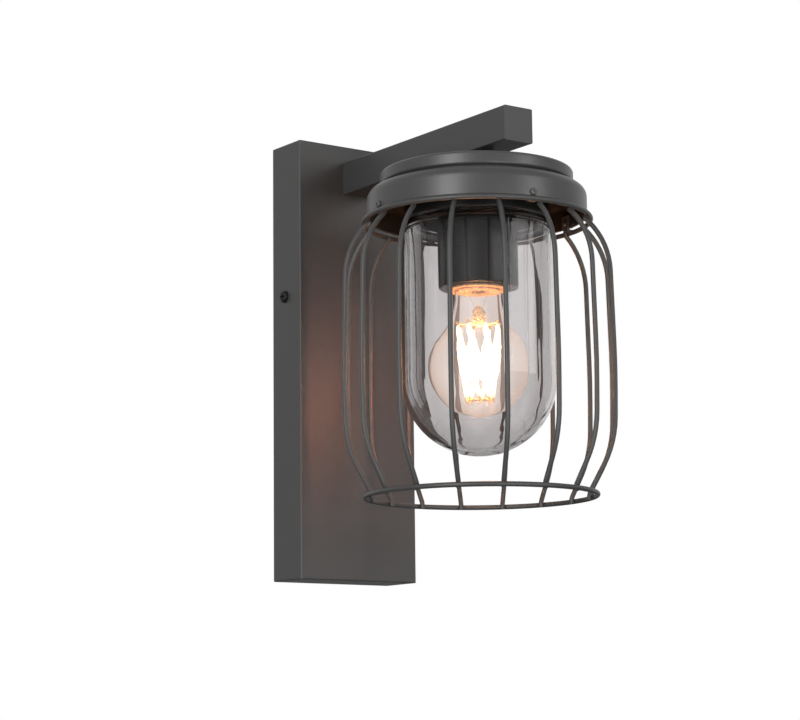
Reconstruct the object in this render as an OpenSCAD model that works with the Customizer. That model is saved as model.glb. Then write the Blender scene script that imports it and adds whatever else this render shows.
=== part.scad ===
// Outdoor wall light: a tall wall box with a square arm, and under the arm a capped lamp
// whose clear glass hangs inside a cage of bent wires.
// The origin is the centre of the wall box's back, on the wall. +X is right, +Z is up,
// +Y goes into the wall, and the light stands out towards -Y. All sizes are millimetres.

/* [Wall box] */
// Width of the wall box
box_w = 88; // [78:1:120]
// Height of the wall box
box_h = 280; // [250:1:340]
// Depth of the wall box, from the wall to its front
box_d = 31.4; // [29:0.2:44]
// Wall thickness of the wall box
box_wall = 1.8; // [1.4:0.1:2.4]
// Radius on the wall box's outer edges
box_edge = 0.8; // [0.3:0.1:1.3]

/* [Wall bracket] */
// Sheet thickness of the bracket
bracket_t = 1.5; // [1:0.1:2]
// Height of the bracket's plate
bracket_h = 110; // [96:1:140]
// Height of the side screws above the box's centre
side_screw_z = 40.5; // [30:0.5:50]
// Distance of the side screws from the wall
side_screw_y = 13.9; // [11:0.1:17]
// Depth of the bracket's side tabs
tab_depth = 20; // [18:0.5:24]
// Height of the bracket's side tabs
tab_h = 30; // [20:1:40]
// Gap between a side tab and the box's side
tab_gap = 0.3; // [0.2:0.05:0.6]
// Hole spacing of the wall slots, sideways
slot_dx = 52; // [46:1:58]
// Hole spacing of the wall slots, upwards
slot_dz = 76; // [68:1:84]
// Width of the wall slots
slot_w = 5.2; // [4.2:0.1:6]
// Length of the wall slots, end to end
slot_len = 12; // [8:0.5:14]
// Diameter of the cable hole
cable_hole_d = 24; // [18:1:28]

/* [Arm] */
// Width and height of the square arm
arm_w = 21; // [20:0.5:24]
// Wall thickness of the arm
arm_wall = 1.5; // [1.2:0.1:2]
// Radius on the arm's long edges
arm_edge = 0.8; // [0.3:0.1:1.2]
// Distance from the box's top to the arm's centre line
arm_drop = 21.3; // [19:0.5:30]
// Distance from the wall to the lamp's axis
lamp_reach = 158.1; // [140:1:190]
// Length of arm past the lamp's axis
arm_over = 41.5; // [25:0.5:60]
// Thickness of the arm's end plate
end_plate_t = 2; // [1.5:0.1:3]
// Length of the threaded block in the arm's root
root_len = 12; // [9:0.5:16]
// Distance of an arm screw from the arm's centre line, sideways and upwards
arm_screw_off = 5.6; // [5.3:0.1:5.9]
// Thread diameter of the arm screws
arm_screw_d = 4; // [3.5:0.1:4.2]
// Side length of the plate under the arm screws' heads
clamp_plate_w = 30; // [26:1:36]
// Thickness of that plate
clamp_plate_t = 2; // [1.5:0.1:3]

/* [Suspension] */
// Gap between the arm's underside and the cap
hang_gap = 11; // [8:0.5:18]
// Thickness of the seal washer on the cap
seal_t = 1; // [0.8:0.1:1.6]
// Diameter of the seal washer
seal_d = 20; // [16:0.5:24]
// Diameter of the boss under the arm
boss_d = 22; // [18:0.5:24]
// Outside diameter of the threaded tube
tube_d = 10; // [9:0.1:11]
// Bore of the threaded tube
tube_bore = 7.6; // [7.2:0.1:8]
// Clearance hole over the threaded tube
tube_hole_d = 11.6; // [11.4:0.1:12]
// Height of the spacer tube inside the cap
spacer_h = 12.2; // [9:0.1:16]
// Diameter of the spacer tube
spacer_d = 16; // [15:0.5:20]

/* [Cap] */
// Distance from the skirt's side in to the disc's side
disc_step = 7.9; // [5:0.1:9]
// Height of the disc's side
disc_h = 6.4; // [5:0.1:9]
// Depth of the groove behind the disc's side
groove_depth = 2.2; // [1.5:0.1:3.2]
// Height of the groove
groove_h = 3.2; // [2:0.1:4.5]
// Distance from the skirt's side out to the cage's upper ring, at the wire's centre
ring_stand = 1.95; // [1.85:0.05:4]
// Height of the skirt
skirt_h = 18.1; // [16:0.1:24]
// Radius of the skirt's shoulder
skirt_round = 6.8; // [4:0.1:8]
// Radius on the disc's upper edge
disc_round = 1.8; // [0.8:0.1:2.5]
// Wall thickness of the cap
cap_wall = 2; // [1.5:0.1:2.6]

/* [Glass and its holder] */
// Outside diameter of the glass
glass_d = 92.4; // [88:0.2:96]
// Height of the glass from its shoulder to its lowest point
glass_h = 141; // [126:1:150]
// Wall thickness of the glass
glass_wall = 3; // [2.4:0.1:3.6]
// Outside radius of the glass's shoulder
glass_round = 5; // [4.2:0.1:5.8]
// Diameter of the glass's neck
neck_d = 80; // [77:0.5:81]
// Height of the glass's neck
neck_h = 12; // [10:0.5:14]
// Thickness of the glass gasket
gasket_t = 1.7; // [1.2:0.1:2.4]
// Wall thickness of the glass holder
holder_wall = 2.6; // [2:0.1:3.4]
// Thickness of the glass holder's plate
holder_plate_t = 2; // [1.6:0.1:2.6]
// Radial gap between the neck and its holder
neck_gap = 0.7; // [0.4:0.05:0.9]
// Gap between the holder's rim and the glass's shoulder
rim_gap = 0.8; // [0.4:0.05:0.9]

/* [Lampholder] */
// Outside diameter of the lampholder sleeve
sleeve_d = 48; // [46:0.5:54]
// Length of the lampholder sleeve
sleeve_len = 54.4; // [52:0.2:58]
// Wall thickness of the sleeve
sleeve_wall = 1.2; // [0.9:0.1:1.8]
// Diameter of the sleeve's mouth
mouth_d = 32.4; // [31:0.2:35]
// Outside diameter of the lampholder body
body_d = 40; // [38:0.5:42]
// Bore of the lampholder body
body_bore = 29.2; // [29:0.1:30.5]
// Height of the lampholder dome
dome_h = 14.2; // [13.6:0.1:15]

/* [Cage] */
// Diameter of the cage's wire
wire_d = 3; // [2.4:0.1:3.4]
// Number of upright wires
wire_count = 16; // [8:4:20]
// Turn of the first wire from the +X direction, in degrees
cage_turn = -4.07; // [-8:0.01:8]
// Diameter of the upper ring, at the wire's centre
top_ring_d = 136.1; // [132:0.1:144]
// Distance from the skirt's lower edge down to the upper ring's centre
top_ring_drop = 2; // [1.8:0.1:3]
// Distance by which the lower ring's radius is larger than the upper ring's
low_ring_grow = 0.35; // [-4:0.05:4]
// Height between the two rings' centres
cage_h = 165.3; // [158:0.1:180]
// Distance by which the wires stand out from the upper ring, where the cage is widest
cage_swell = 13.25; // [10:0.05:18]
// Distance from the upper ring down to where the cage is widest
swell_drop = 92; // [80:0.5:104]
// Distance from the lower ring up to where the wires turn in
foot_rise = 29; // [24:0.5:36]
// Angle of the wires against the vertical at the upper ring
top_lean = 46.3; // [38:0.1:50]
// Bend radius of the wires near the upper ring
top_bend = 46; // [36:0.5:47]
// Bend radius of the wires above the lower ring
low_bend = 62; // [50:0.5:66]
// Gap left for the weld between a wire and a ring
weld_gap = 0.03; // [0.02:0.01:0.1]
// Width of the cage's lugs
lug_w = 8; // [7:0.5:10]
// Thickness of the cage's lugs
lug_t = 1.6; // [1.2:0.1:2]
// Turn of a lug from its nearest wire, in degrees
lug_turn = -3.9; // [-5:0.1:-3.8]
// Height of the cage screws above the skirt's lower edge
cage_screw_rise = 2.5; // [2.3:0.1:3.4]

/* [Bulb] */
// Diameter of the bulb's globe
bulb_d = 60; // [54:0.5:64]
// Length of the bulb
bulb_len = 105; // [100:0.5:110]
// Distance from the sleeve's mouth up to the bulb's contact tip
bulb_seat = 27.6; // [26.8:0.1:28.4]
// Wall thickness of the bulb's glass
bulb_wall = 0.8; // [0.6:0.05:1.2]
// Diameter of the bulb's neck
bulb_neck_d = 27.4; // [26.6:0.1:28]
// Radius of the sweep from the neck to the globe
bulb_sweep = 35.2; // [30:0.2:42]
// Number of filament sticks
stick_count = 8; // [4:2:8]
// Diameter of a filament stick
stick_d = 1.6; // [1.2:0.1:2]

/* [Hidden] */
$fn = 64;

// Extra length of a cut past the face that it opens
cut = 1;
// Clearance of a screw in a hole without thread, on the diameter
screw_slack = 0.3;
// Clearance left between a screw's shank and its thread, on the diameter
thread_slack = 0.06;
// Gap between seated faces of different moving pieces
seat_gap = 0.3;

// Box
inner_front = box_d - box_wall;
bracket_w = box_w - 2 * box_wall - 2 * tab_gap;
side_screw_d = 4;
side_head_d = 7.6;
side_head_h = 2.2;
side_screw_len = 9;

// Terminal block and earth screw, on bosses inside the box's front
pole_pitch = 10;
block_w = 3 * pole_pitch;
block_len = 17;
block_base_h = 8;
block_tower_h = 5;
block_z = side_screw_z + cable_hole_d / 2 + 10;
block_boss_h = 4;
block_boss_d = 7;
block_foot_y = -(inner_front - block_boss_h);
clamp_axis_y = block_foot_y + 4.5;
clamp_d = 4.8;
clamp_bore = 3;
clamp_len = 15;
clamp_screw_d = 2.5;
clamp_screw_step = 4.4;
block_screw_d = 3;
earth_x = 26;
earth_z = block_z + 20;
earth_boss_d = 9;
earth_boss_h = 5;
earth_screw_d = 4;
lug_sheet = 0.8;
earth_face_y = -(inner_front - earth_boss_h);
earth_barrel_y = earth_face_y + 2.2;

// Arm
arm_z = box_h / 2 - arm_drop;
arm_end = lamp_reach + arm_over;
arm_under = arm_z - arm_w / 2;
arm_inside = arm_w - 2 * arm_wall;
root_fit = 0.2;
lead_d = 2.2;
lead_gap = 3;
lead_straight = 30;
lead_turn = 50;
sleeve_bore = 5.6;
sleeve_od = 6.3;
sleeve_hole = 6.9;
arm_head_d = 6.6;
arm_head_h = 2.4;

// Stack on the threaded tube, from the arm downwards
cap_top = arm_under - hang_gap;
cap_ceiling = cap_top - cap_wall;
plate_top = cap_ceiling - spacer_h;
plate_under = plate_top - holder_plate_t;
sleeve_top = plate_under;
washer_t = 0.8;
nut_h = 4.5;
nut_flats = 14;
tube_top = arm_under - 2;
nut_under = sleeve_top - sleeve_wall - washer_t - nut_h;
dome_top = nut_under - seat_gap;
dome_under = dome_top - dome_h;
tube_low = dome_top - 5;
boss_spigot_d = 12;

// Cap
skirt_d = top_ring_d - 2 * ring_stand;
disc_d = skirt_d - 2 * disc_step;
groove_d = disc_d - 2 * groove_depth;
disc_under = cap_top - disc_h;
skirt_top = disc_under - groove_h;
skirt_low = skirt_top - skirt_h;

// Glass
holder_r = neck_d / 2 + neck_gap;
glass_top = plate_under - gasket_t - seat_gap;
shoulder_z = glass_top - neck_h;
holder_low = shoulder_z + rim_gap;
glass_r = glass_d / 2;
bowl_z = shoulder_z - glass_h + glass_r;

// Lampholder
mouth_z = sleeve_top - sleeve_len;
lip_t = 1.4;
tip_z = mouth_z + bulb_seat;
body_low = mouth_z + lip_t + seat_gap;
shell_low = body_low + 2.2;
shell_wall = 0.4;
shell_bead = 0.6;
thread_pitch = 3.62;
shell_r = body_bore / 2 - 0.25;
shell_top = tip_z - 2.6;
floor_z = tip_z + 1.8;
terminal_w = 6;
terminal_h = 5;
terminal_x = 11;
terminal_hole = lead_d + 0.4;

// Bulb
bulb_r = bulb_d / 2;
globe_z = tip_z - bulb_len + bulb_r;
neck_r = bulb_neck_d / 2;
bulb_tip_h = 1.2;
insulator_h = 2.6;
bulb_cap_top = tip_z - bulb_tip_h - insulator_h;
bulb_cap_h = 22.8;
bulb_cap_low = bulb_cap_top - bulb_cap_h;
bulb_cap_r = 13.05;
bulb_bead = 1;
cap_tube_r = bulb_cap_r - bulb_bead + 0.15;
sweep_x = neck_r + bulb_sweep;
sweep_z = globe_z + sqrt(pow(bulb_r + bulb_sweep, 2) - pow(sweep_x, 2));
join_x = bulb_r * sweep_x / (bulb_r + bulb_sweep);
join_z = globe_z + bulb_r * (sweep_z - globe_z) / (bulb_r + bulb_sweep);
bulb_neck_end = bulb_cap_low - seat_gap;
bulb_tail_r = cap_tube_r - 0.8;
stem_foot_rise = 34;
stem_foot_z = globe_z + stem_foot_rise;
stem_flare_end = 8;
stem_rod_r = 1.7;
stick_rise = 25.5;
stick_fall = 19.5;
stick_top_z = globe_z + stick_rise;
stick_low_z = globe_z - stick_fall;
stick_top_r = 13;
stick_low_r = 8;
stick_twist = 75;
support_d = 0.7;

// Cage
top_ring_z = skirt_low - top_ring_drop;
low_ring_z = top_ring_z - cage_h;
top_ring_r = top_ring_d / 2;
low_ring_r = top_ring_r + low_ring_grow;
cage_r = top_ring_r + cage_swell;
weld_off = wire_d + weld_gap;
lug_count = 4;
cage_screw_d = 2.5;
cage_head_d = 4.4;
cage_head_h = 1.6;
cage_screw_z = skirt_low + cage_screw_rise;
lug_outer_r = skirt_d / 2 - cap_wall - seat_gap;
lug_top = cage_screw_z + 5;
lug_foot_w = 5;
mid_lean = 1.3;
mid_bend = 600;
end_bend = 7;

// Places a child on the lamp's axis
module at_lamp() {
    translate([0, -lamp_reach, 0]) children();
}

// Turns a child's Z axis to point away from the wall
module facing_out() {
    rotate([90, 0, 0]) children();
}

// Solid of revolution about the lamp's axis, from a profile of radius and height
module spun() {
    at_lamp() rotate_extrude() children();
}

// Tube about the lamp's axis
module ring_tube(outer_d, inner_d, low, high) {
    at_lamp() translate([0, 0, low]) difference() {
        cylinder(d = outer_d, h = high - low);
        translate([0, 0, -cut]) cylinder(d = inner_d, h = high - low + 2 * cut);
    }
}

// Rectangle centred on the origin with round corners
module rounded_rect(w, h, r) {
    square([w - 2 * r, h], center = true);
    square([w, h - 2 * r], center = true);
    for (x = [-1, 1], y = [-1, 1]) {
        translate([x * (w / 2 - r), y * (h / 2 - r)]) circle(r = r);
    }
}

// Rectangle from -depth to 0 whose two far corners are round
module round_fronted(depth, w, r) {
    translate([r - depth, -w / 2]) square([depth - r, w]);
    translate([-depth, r - w / 2]) square([depth, w - 2 * r]);
    for (y = [-1, 1]) {
        translate([r - depth, y * (w / 2 - r)]) circle(r = r);
    }
}

// Half profile of a round-topped block, for turning
module round_topped(r_out, low, high, r_top) {
    translate([0, low]) square([r_out - r_top, high - low]);
    translate([0, low]) square([r_out, high - low - r_top]);
    translate([r_out - r_top, high - r_top]) intersection() {
        circle(r = r_top);
        square(r_top);
    }
}

// Half profile of a jar: round bottom, wall, shoulder and neck
module jar_profile(r, bowl, shoulder, r_round, r_neck, top) {
    translate([0, bowl]) intersection() {
        circle(r = r);
        translate([0, -r]) square([r, r]);
    }
    round_topped(r, bowl, shoulder, r_round);
    translate([0, bowl]) square([r_neck, top - bowl]);
}

// Half profile of a bulb: globe and swept neck
module bulb_profile(shrink, top) {
    difference() {
        translate([0, join_z]) square([join_x, top - join_z]);
        translate([sweep_x, sweep_z]) circle(r = bulb_sweep + shrink);
        translate([neck_r - shrink, sweep_z]) square([sweep_x, top - sweep_z + cut]);
    }
    translate([0, globe_z]) intersection() {
        circle(r = bulb_r - shrink);
        translate([0, -bulb_r]) square([bulb_r, 2 * bulb_r]);
    }
}

function unit(v) = v / norm(v);
function turn_at(a, b, c) =
    let (u = unit(b - a), v = unit(c - b)) atan2(u[0] * v[1] - u[1] * v[0], u * v);
function flat(p) = [p[0], p[1]];

// Points along a bend of radius r at b, between a and c, at most step degrees apart
function bend(a, b, c, r, step) = let (
    t = turn_at(a, b, c), run = unit(b - a), side = sign(t),
    middle = b - run * r * tan(abs(t) / 2) + [-run[1], run[0]] * side * r,
    first = atan2(run[1], run[0]) - 90 * side, count = ceil(abs(t) / step))
    [for (i = [0:count]) middle + r * [cos(first + t * i / count), sin(first + t * i / count)]];

// Route of a bent rod in the plane of X and Z; each point gives x, z and the bend's radius there
function bent_route(path, step = 7) = let (last = len(path) - 1,
    line = [flat(path[0]),
        for (i = [1:last - 1]) each bend(flat(path[i - 1]), flat(path[i]), flat(path[i + 1]),
            path[i][2], step),
        flat(path[last])])
    [for (p = line) [p[0], 0, p[1]]];

// Smooth curve through a list of points, with the given number of steps between two points
function curve_point(a, b, c, d, t) =
    0.5 * (2 * b + (c - a) * t + (2 * a - 5 * b + 4 * c - d) * t * t
    + (3 * b - a - 3 * c + d) * t * t * t);
function curve(points, steps) = let (n = len(points) - 1) [
    for (i = [0:n - 1], s = [0:steps - 1])
        curve_point(points[max(i - 1, 0)], points[i], points[i + 1],
            points[min(i + 2, n)], s / steps),
    points[n]];

// Round rod swept along a line of points; aside is a direction that the line never takes
module swept(line, d, aside, sides = 8) {
    n = len(line);
    rings = [for (i = [0:n - 1]) let (
        way = unit(line[min(i + 1, n - 1)] - line[max(i - 1, 0)]),
        left = unit(cross(way, aside)), up = cross(left, way))
        for (s = [0:sides - 1])
            line[i] + d / 2 * (left * cos(360 * s / sides) + up * sin(360 * s / sides))];
    walls = [for (i = [0:n - 2], s = [0:sides - 1]) let (
        a = i * sides + s, b = i * sides + (s + 1) % sides)
        each [[a, a + sides, b], [b, a + sides, b + sides]]];
    ends = [for (s = [1:sides - 2])
        each [[0, s, s + 1], [(n - 1) * sides, (n - 1) * sides + s + 1, (n - 1) * sides + s]]];
    polyhedron(points = rings, faces = concat(walls, ends));
}

// Cross recess of a screw, cut down from the top of a head at height 0
module cross_recess(w, depth) {
    for (a = [0, 90]) {
        rotate([0, 0, a]) translate([-w / 2, -w / 10, -depth]) cube([w, w / 5, depth + cut]);
    }
    translate([0, 0, -depth * 1.25]) cylinder(d1 = w / 8, d2 = w / 2.4, h = depth * 1.25 + 0.01);
}

// Pan-head screw whose head stands on height 0 and whose shank goes down
module pan_screw(d, length, head_d, head_h) {
    round_r = head_h * 0.6;
    translate([0, 0, -length]) cylinder(d = d, h = length + 0.01);
    difference() {
        rotate_extrude() round_topped(head_d / 2, 0, head_h, round_r);
        translate([0, 0, head_h]) cross_recess(head_d * 0.6, head_h * 0.6);
    }
}

// Slotted cheese-head screw, standing as the pan-head screw does
module slot_screw(d, length, head_d, head_h) {
    translate([0, 0, -length]) cylinder(d = d, h = length + 0.01);
    difference() {
        cylinder(d = head_d, h = head_h);
        translate([-head_d, -head_d * 0.09, head_h * 0.55]) cube([head_d * 2, head_d * 0.18, head_h]);
    }
}

// Places a child at a point of the box's front, with Z pointing back to the wall
module on_front(x, y, z) {
    translate([x, y, z]) rotate([-90, 0, 0]) children();
}

// Places of the arm screws, each across from the other
module at_arm_screws(y) {
    for (x = [-1, 1], z = [-1, 1]) {
        on_front(x * arm_screw_off, y, arm_z + z * arm_screw_off) children();
    }
}

module wall_box() {
    color("#4b4b4a") difference() {
        union() {
            difference() {
                intersection() {
                    facing_out() linear_extrude(box_d) rounded_rect(box_w, box_h, box_edge);
                    translate([0, 0, -box_h / 2]) linear_extrude(box_h)
                        rotate([0, 0, 90]) round_fronted(box_d, box_w, box_edge);
                    rotate([90, 0, 90]) translate([0, 0, -box_w / 2]) linear_extrude(box_w)
                        round_fronted(box_d, box_h, box_edge);
                }
                translate([box_wall - box_w / 2, -inner_front, box_wall - box_h / 2])
                    cube([box_w - 2 * box_wall, inner_front + cut, box_h - 2 * box_wall]);
            }
            for (x = [-1, 1]) {
                on_front(x * pole_pitch / 2, -inner_front - 0.01, block_z)
                    cylinder(d = block_boss_d, h = block_boss_h + 0.01);
            }
            on_front(earth_x, -inner_front - 0.01, earth_z)
                cylinder(d = earth_boss_d, h = earth_boss_h + 0.01);
        }
        for (x = [-1, 1]) {
            translate([x * (box_w / 2 - box_wall / 2), -side_screw_y, side_screw_z])
                rotate([0, 90, 0]) cylinder(d = side_screw_d + screw_slack, h = 2 * box_wall, center = true);
            on_front(x * pole_pitch / 2, -inner_front, block_z)
                cylinder(d = block_screw_d + thread_slack, h = block_boss_h + cut);
        }
        on_front(earth_x, -inner_front, earth_z)
            cylinder(d = earth_screw_d + thread_slack, h = earth_boss_h + cut);
        at_arm_screws(-box_d - cut) cylinder(d = arm_screw_d + screw_slack, h = box_wall + 2 * cut);
        on_front(0, -box_d - cut, arm_z) cylinder(d = sleeve_hole, h = box_wall + 2 * cut);
    }
}

module wall_bracket() {
    plate_low = side_screw_z - bracket_h / 2;
    color("#b9bcbd") difference() {
        union() {
            translate([-bracket_w / 2, -bracket_t, plate_low]) cube([bracket_w, bracket_t, bracket_h]);
            for (x = [0, 1]) {
                translate([x * (bracket_w - bracket_t) - bracket_w / 2, -tab_depth,
                    side_screw_z - tab_h / 2]) cube([bracket_t, tab_depth, tab_h]);
            }
        }
        for (x = [-1, 1]) {
            translate([x * (bracket_w - bracket_t) / 2, -side_screw_y, side_screw_z])
                rotate([0, 90, 0]) cylinder(d = side_screw_d + thread_slack, h = 3 * bracket_t, center = true);
            for (z = [-1, 1]) {
                translate([x * slot_dx / 2, 0, side_screw_z + z * slot_dz / 2])
                    facing_out() translate([0, 0, -cut]) {
                        for (s = [-1, 1]) {
                            translate([s * (slot_len - slot_w) / 2, 0, 0])
                                cylinder(d = slot_w, h = bracket_t + 2 * cut);
                        }
                        translate([-(slot_len - slot_w) / 2, -slot_w / 2, 0])
                            cube([slot_len - slot_w, slot_w, bracket_t + 2 * cut]);
                    }
            }
        }
        translate([0, cut, side_screw_z]) facing_out()
            cylinder(d = cable_hole_d, h = bracket_t + 2 * cut);
    }
}

module side_screws() {
    color("#151515") for (x = [-1, 1]) {
        translate([x * box_w / 2, -side_screw_y, side_screw_z]) rotate([0, x * 90, 0])
            pan_screw(side_screw_d, side_screw_len, side_head_d, side_head_h);
    }
}

// Places of the terminal block's clamp screws
module at_clamp_screws(y) {
    for (x = [-1, 0, 1], z = [-1, 1]) {
        on_front(x * pole_pitch, y, block_z + z * clamp_screw_step) children();
    }
}

module terminal_block() {
    color("#e6e4dc") difference() {
        union() {
            translate([-block_w / 2, block_foot_y, block_z - block_len / 2])
                cube([block_w, block_base_h, block_len]);
            at_clamp_screws(block_foot_y + block_base_h - 0.01)
                cylinder(d = 6.4, h = block_tower_h + 0.01);
        }
        for (x = [-1, 0, 1]) {
            translate([x * pole_pitch, clamp_axis_y, block_z - block_len / 2 - cut])
                cylinder(d = clamp_d + 0.2, h = block_len + 2 * cut);
        }
        at_clamp_screws(clamp_axis_y) cylinder(d = 4.4, h = block_base_h + block_tower_h);
        for (x = [-1, 1]) {
            on_front(x * pole_pitch / 2, block_foot_y - cut, block_z)
                cylinder(d = block_screw_d + screw_slack, h = block_base_h + 2 * cut);
        }
    }
}

module terminal_clamps() {
    color("#b8903c") for (x = [-1, 0, 1]) {
        difference() {
            translate([x * pole_pitch, clamp_axis_y, block_z - clamp_len / 2])
                cylinder(d = clamp_d, h = clamp_len);
            translate([x * pole_pitch, clamp_axis_y, block_z - clamp_len / 2 - cut])
                cylinder(d = clamp_bore, h = clamp_len + 2 * cut);
            for (z = [-1, 1]) {
                on_front(x * pole_pitch, clamp_axis_y, block_z + z * clamp_screw_step)
                    cylinder(d = clamp_screw_d + thread_slack, h = clamp_d);
            }
        }
    }
}

module clamp_screws() {
    shank = 3.2;
    color("#c9cbcc") at_clamp_screws(clamp_axis_y + clamp_d / 2 + 2.1)
        slot_screw(clamp_screw_d, shank, 3.8, 1.8);
}

module block_screws() {
    color("#c9cbcc") for (x = [-1, 1]) {
        on_front(x * pole_pitch / 2, block_foot_y + block_base_h, block_z)
            pan_screw(block_screw_d, block_base_h + block_boss_h - cut, 5.4, 1.8);
    }
}

module earth_lug() {
    barrel_len = 6;
    barrel_x = earth_x - 13;
    color("#c8b070") difference() {
        union() {
            on_front(earth_x, earth_face_y, earth_z) cylinder(d = earth_boss_d - 0.6, h = lug_sheet);
            translate([barrel_x + barrel_len - 0.5, earth_face_y, earth_z - 1.7])
                cube([earth_x - barrel_x - barrel_len, lug_sheet, 3.4]);
            translate([barrel_x, earth_barrel_y, earth_z]) rotate([0, 90, 0])
                cylinder(d = 4.2, h = barrel_len);
        }
        on_front(earth_x, earth_face_y - cut, earth_z)
            cylinder(d = earth_screw_d + screw_slack, h = lug_sheet + 2 * cut);
        translate([barrel_x - cut, earth_barrel_y, earth_z]) rotate([0, 90, 0])
            cylinder(d = lead_d + 0.3, h = barrel_len);
    }
}

module earth_washer() {
    color("#c9cbcc") difference() {
        on_front(earth_x, earth_face_y + lug_sheet, earth_z) cylinder(d = 8, h = washer_t);
        on_front(earth_x, earth_face_y + lug_sheet - cut, earth_z)
            cylinder(d = earth_screw_d + screw_slack, h = washer_t + 2 * cut);
    }
}

module earth_screw() {
    color("#c9cbcc") on_front(earth_x, earth_face_y + lug_sheet + washer_t, earth_z)
        pan_screw(earth_screw_d, earth_boss_h + lug_sheet + washer_t - 0.6, 7, 2.4);
}

// Route of the live or the neutral lead; side is -1 or 1
function mains_route(side) = let (
    near = side * lead_gap / 2, far = side * pole_pitch, block_top = block_z + block_len / 2) [
    [far, clamp_axis_y, block_z + 2],
    [far, clamp_axis_y, block_top + 2],
    [far * 0.95, clamp_axis_y + 3.5, block_top + 8],
    [far * 0.6, clamp_axis_y + 6.5, arm_z - 26],
    [near * 1.6, clamp_axis_y + 5.5, arm_z - 13],
    [near, 10 - inner_front, arm_z - 5.4],
    [near, 6 - inner_front, arm_z - 1],
    [near, 1 - inner_front, arm_z],
    [near, -box_d - 6, arm_z],
    [near, -box_d - lead_straight, arm_z],
    [near, -lamp_reach + lead_turn, arm_z],
    [near, -lamp_reach + 20, arm_z],
    [near, -lamp_reach + 11, arm_z - 0.4],
    [near, -lamp_reach + 4, arm_z - 3.6],
    [near, -lamp_reach + 0.5, arm_under + 0.5],
    [near, -lamp_reach, tube_top - 2],
    [near, -lamp_reach, plate_top],
    [near, -lamp_reach, dome_top - 2],
    [near, -lamp_reach, tube_low + 0.5],
    [near * 1.1, -lamp_reach, tube_low - 2.6],
    [near * 2.1, -lamp_reach, dome_under + terminal_h / 2 + 1.2],
    [side * (terminal_x - 4.6), -lamp_reach, dome_under + terminal_h / 2],
    [side * (terminal_x - 1.4), -lamp_reach, dome_under + terminal_h / 2]];

module lead_live() {
    color("#7a4a28") swept(curve(mains_route(-1), 3), lead_d, [1, 0, 0]);
}

module lead_neutral() {
    color("#2f62a8") swept(curve(mains_route(1), 3), lead_d, [1, 0, 0]);
}

module lead_earth() {
    route = [
        [0, clamp_axis_y, block_z + 2],
        [0, clamp_axis_y, block_z + block_len / 2 + 1],
        [0.6, clamp_axis_y + 0.4, earth_z - 5],
        [4, clamp_axis_y, earth_z - 0.8],
        [9, earth_barrel_y, earth_z],
        [earth_x - 12.6, earth_barrel_y, earth_z],
        [earth_x - 8.6, earth_barrel_y, earth_z]];
    color("#6f9a35") swept(curve(route, 4), lead_d, [0, 1, 0]);
}

module lead_sleeve() {
    sleeve_run = 22;
    color("#d8d2bd") translate([0, -inner_front + 1, arm_z]) facing_out() difference() {
        cylinder(d = sleeve_od, h = sleeve_run);
        translate([0, 0, -cut]) cylinder(d = sleeve_bore, h = sleeve_run + 2 * cut);
    }
}

module arm_clamp_plate() {
    color("#b9bcbd") difference() {
        translate([-clamp_plate_w / 2, -inner_front, arm_z - clamp_plate_w / 2])
            cube([clamp_plate_w, clamp_plate_t, clamp_plate_w]);
        at_arm_screws(-inner_front - cut)
            cylinder(d = arm_screw_d + screw_slack, h = clamp_plate_t + 2 * cut);
        on_front(0, -inner_front - cut, arm_z) cylinder(d = sleeve_hole, h = clamp_plate_t + 2 * cut);
    }
}

module arm_screws() {
    color("#c9cbcc") at_arm_screws(clamp_plate_t - inner_front)
        pan_screw(arm_screw_d, clamp_plate_t + box_wall + root_len - 2, arm_head_d, arm_head_h);
}

module arm_root_block() {
    color("#9da0a1") difference() {
        translate([0, -box_d, arm_z]) facing_out() linear_extrude(root_len)
            rounded_rect(arm_inside - root_fit, arm_inside - root_fit, 0.6);
        at_arm_screws(-box_d - root_len - cut)
            cylinder(d = arm_screw_d + thread_slack, h = root_len + 2 * cut);
        on_front(0, -box_d - root_len - cut, arm_z) cylinder(d = sleeve_hole, h = root_len + 2 * cut);
    }
}

module arm_tube() {
    tube_run = arm_end - end_plate_t - box_d;
    color("#474746") difference() {
        translate([0, -box_d, arm_z]) facing_out() linear_extrude(tube_run)
            rounded_rect(arm_w, arm_w, arm_edge);
        translate([0, cut - box_d, arm_z]) facing_out() linear_extrude(tube_run + 2 * cut)
            square(arm_inside, center = true);
        at_lamp() translate([0, 0, arm_under - cut])
            cylinder(d = boss_spigot_d + 0.1, h = arm_wall + 2 * cut);
    }
}

module arm_end_plate() {
    color("#4a4a49") translate([0, end_plate_t - arm_end, arm_z]) facing_out()
        linear_extrude(end_plate_t) rounded_rect(arm_w, arm_w, arm_edge);
}

module arm_boss() {
    color("#464645") difference() {
        union() {
            at_lamp() translate([0, 0, cap_top + seal_t])
                cylinder(d = boss_d, h = hang_gap - seal_t);
            at_lamp() translate([0, 0, arm_under - 0.01])
                cylinder(d = boss_spigot_d, h = arm_wall + 0.01);
        }
        at_lamp() translate([0, 0, cap_top]) cylinder(d = tube_d + thread_slack, h = hang_gap + 2 * arm_wall);
    }
}

module cap_seal() {
    color("#202020") ring_tube(seal_d, tube_hole_d, cap_top, cap_top + seal_t);
}

module threaded_tube() {
    color("#c4b074") ring_tube(tube_d, tube_bore, tube_low, tube_top);
}

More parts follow.
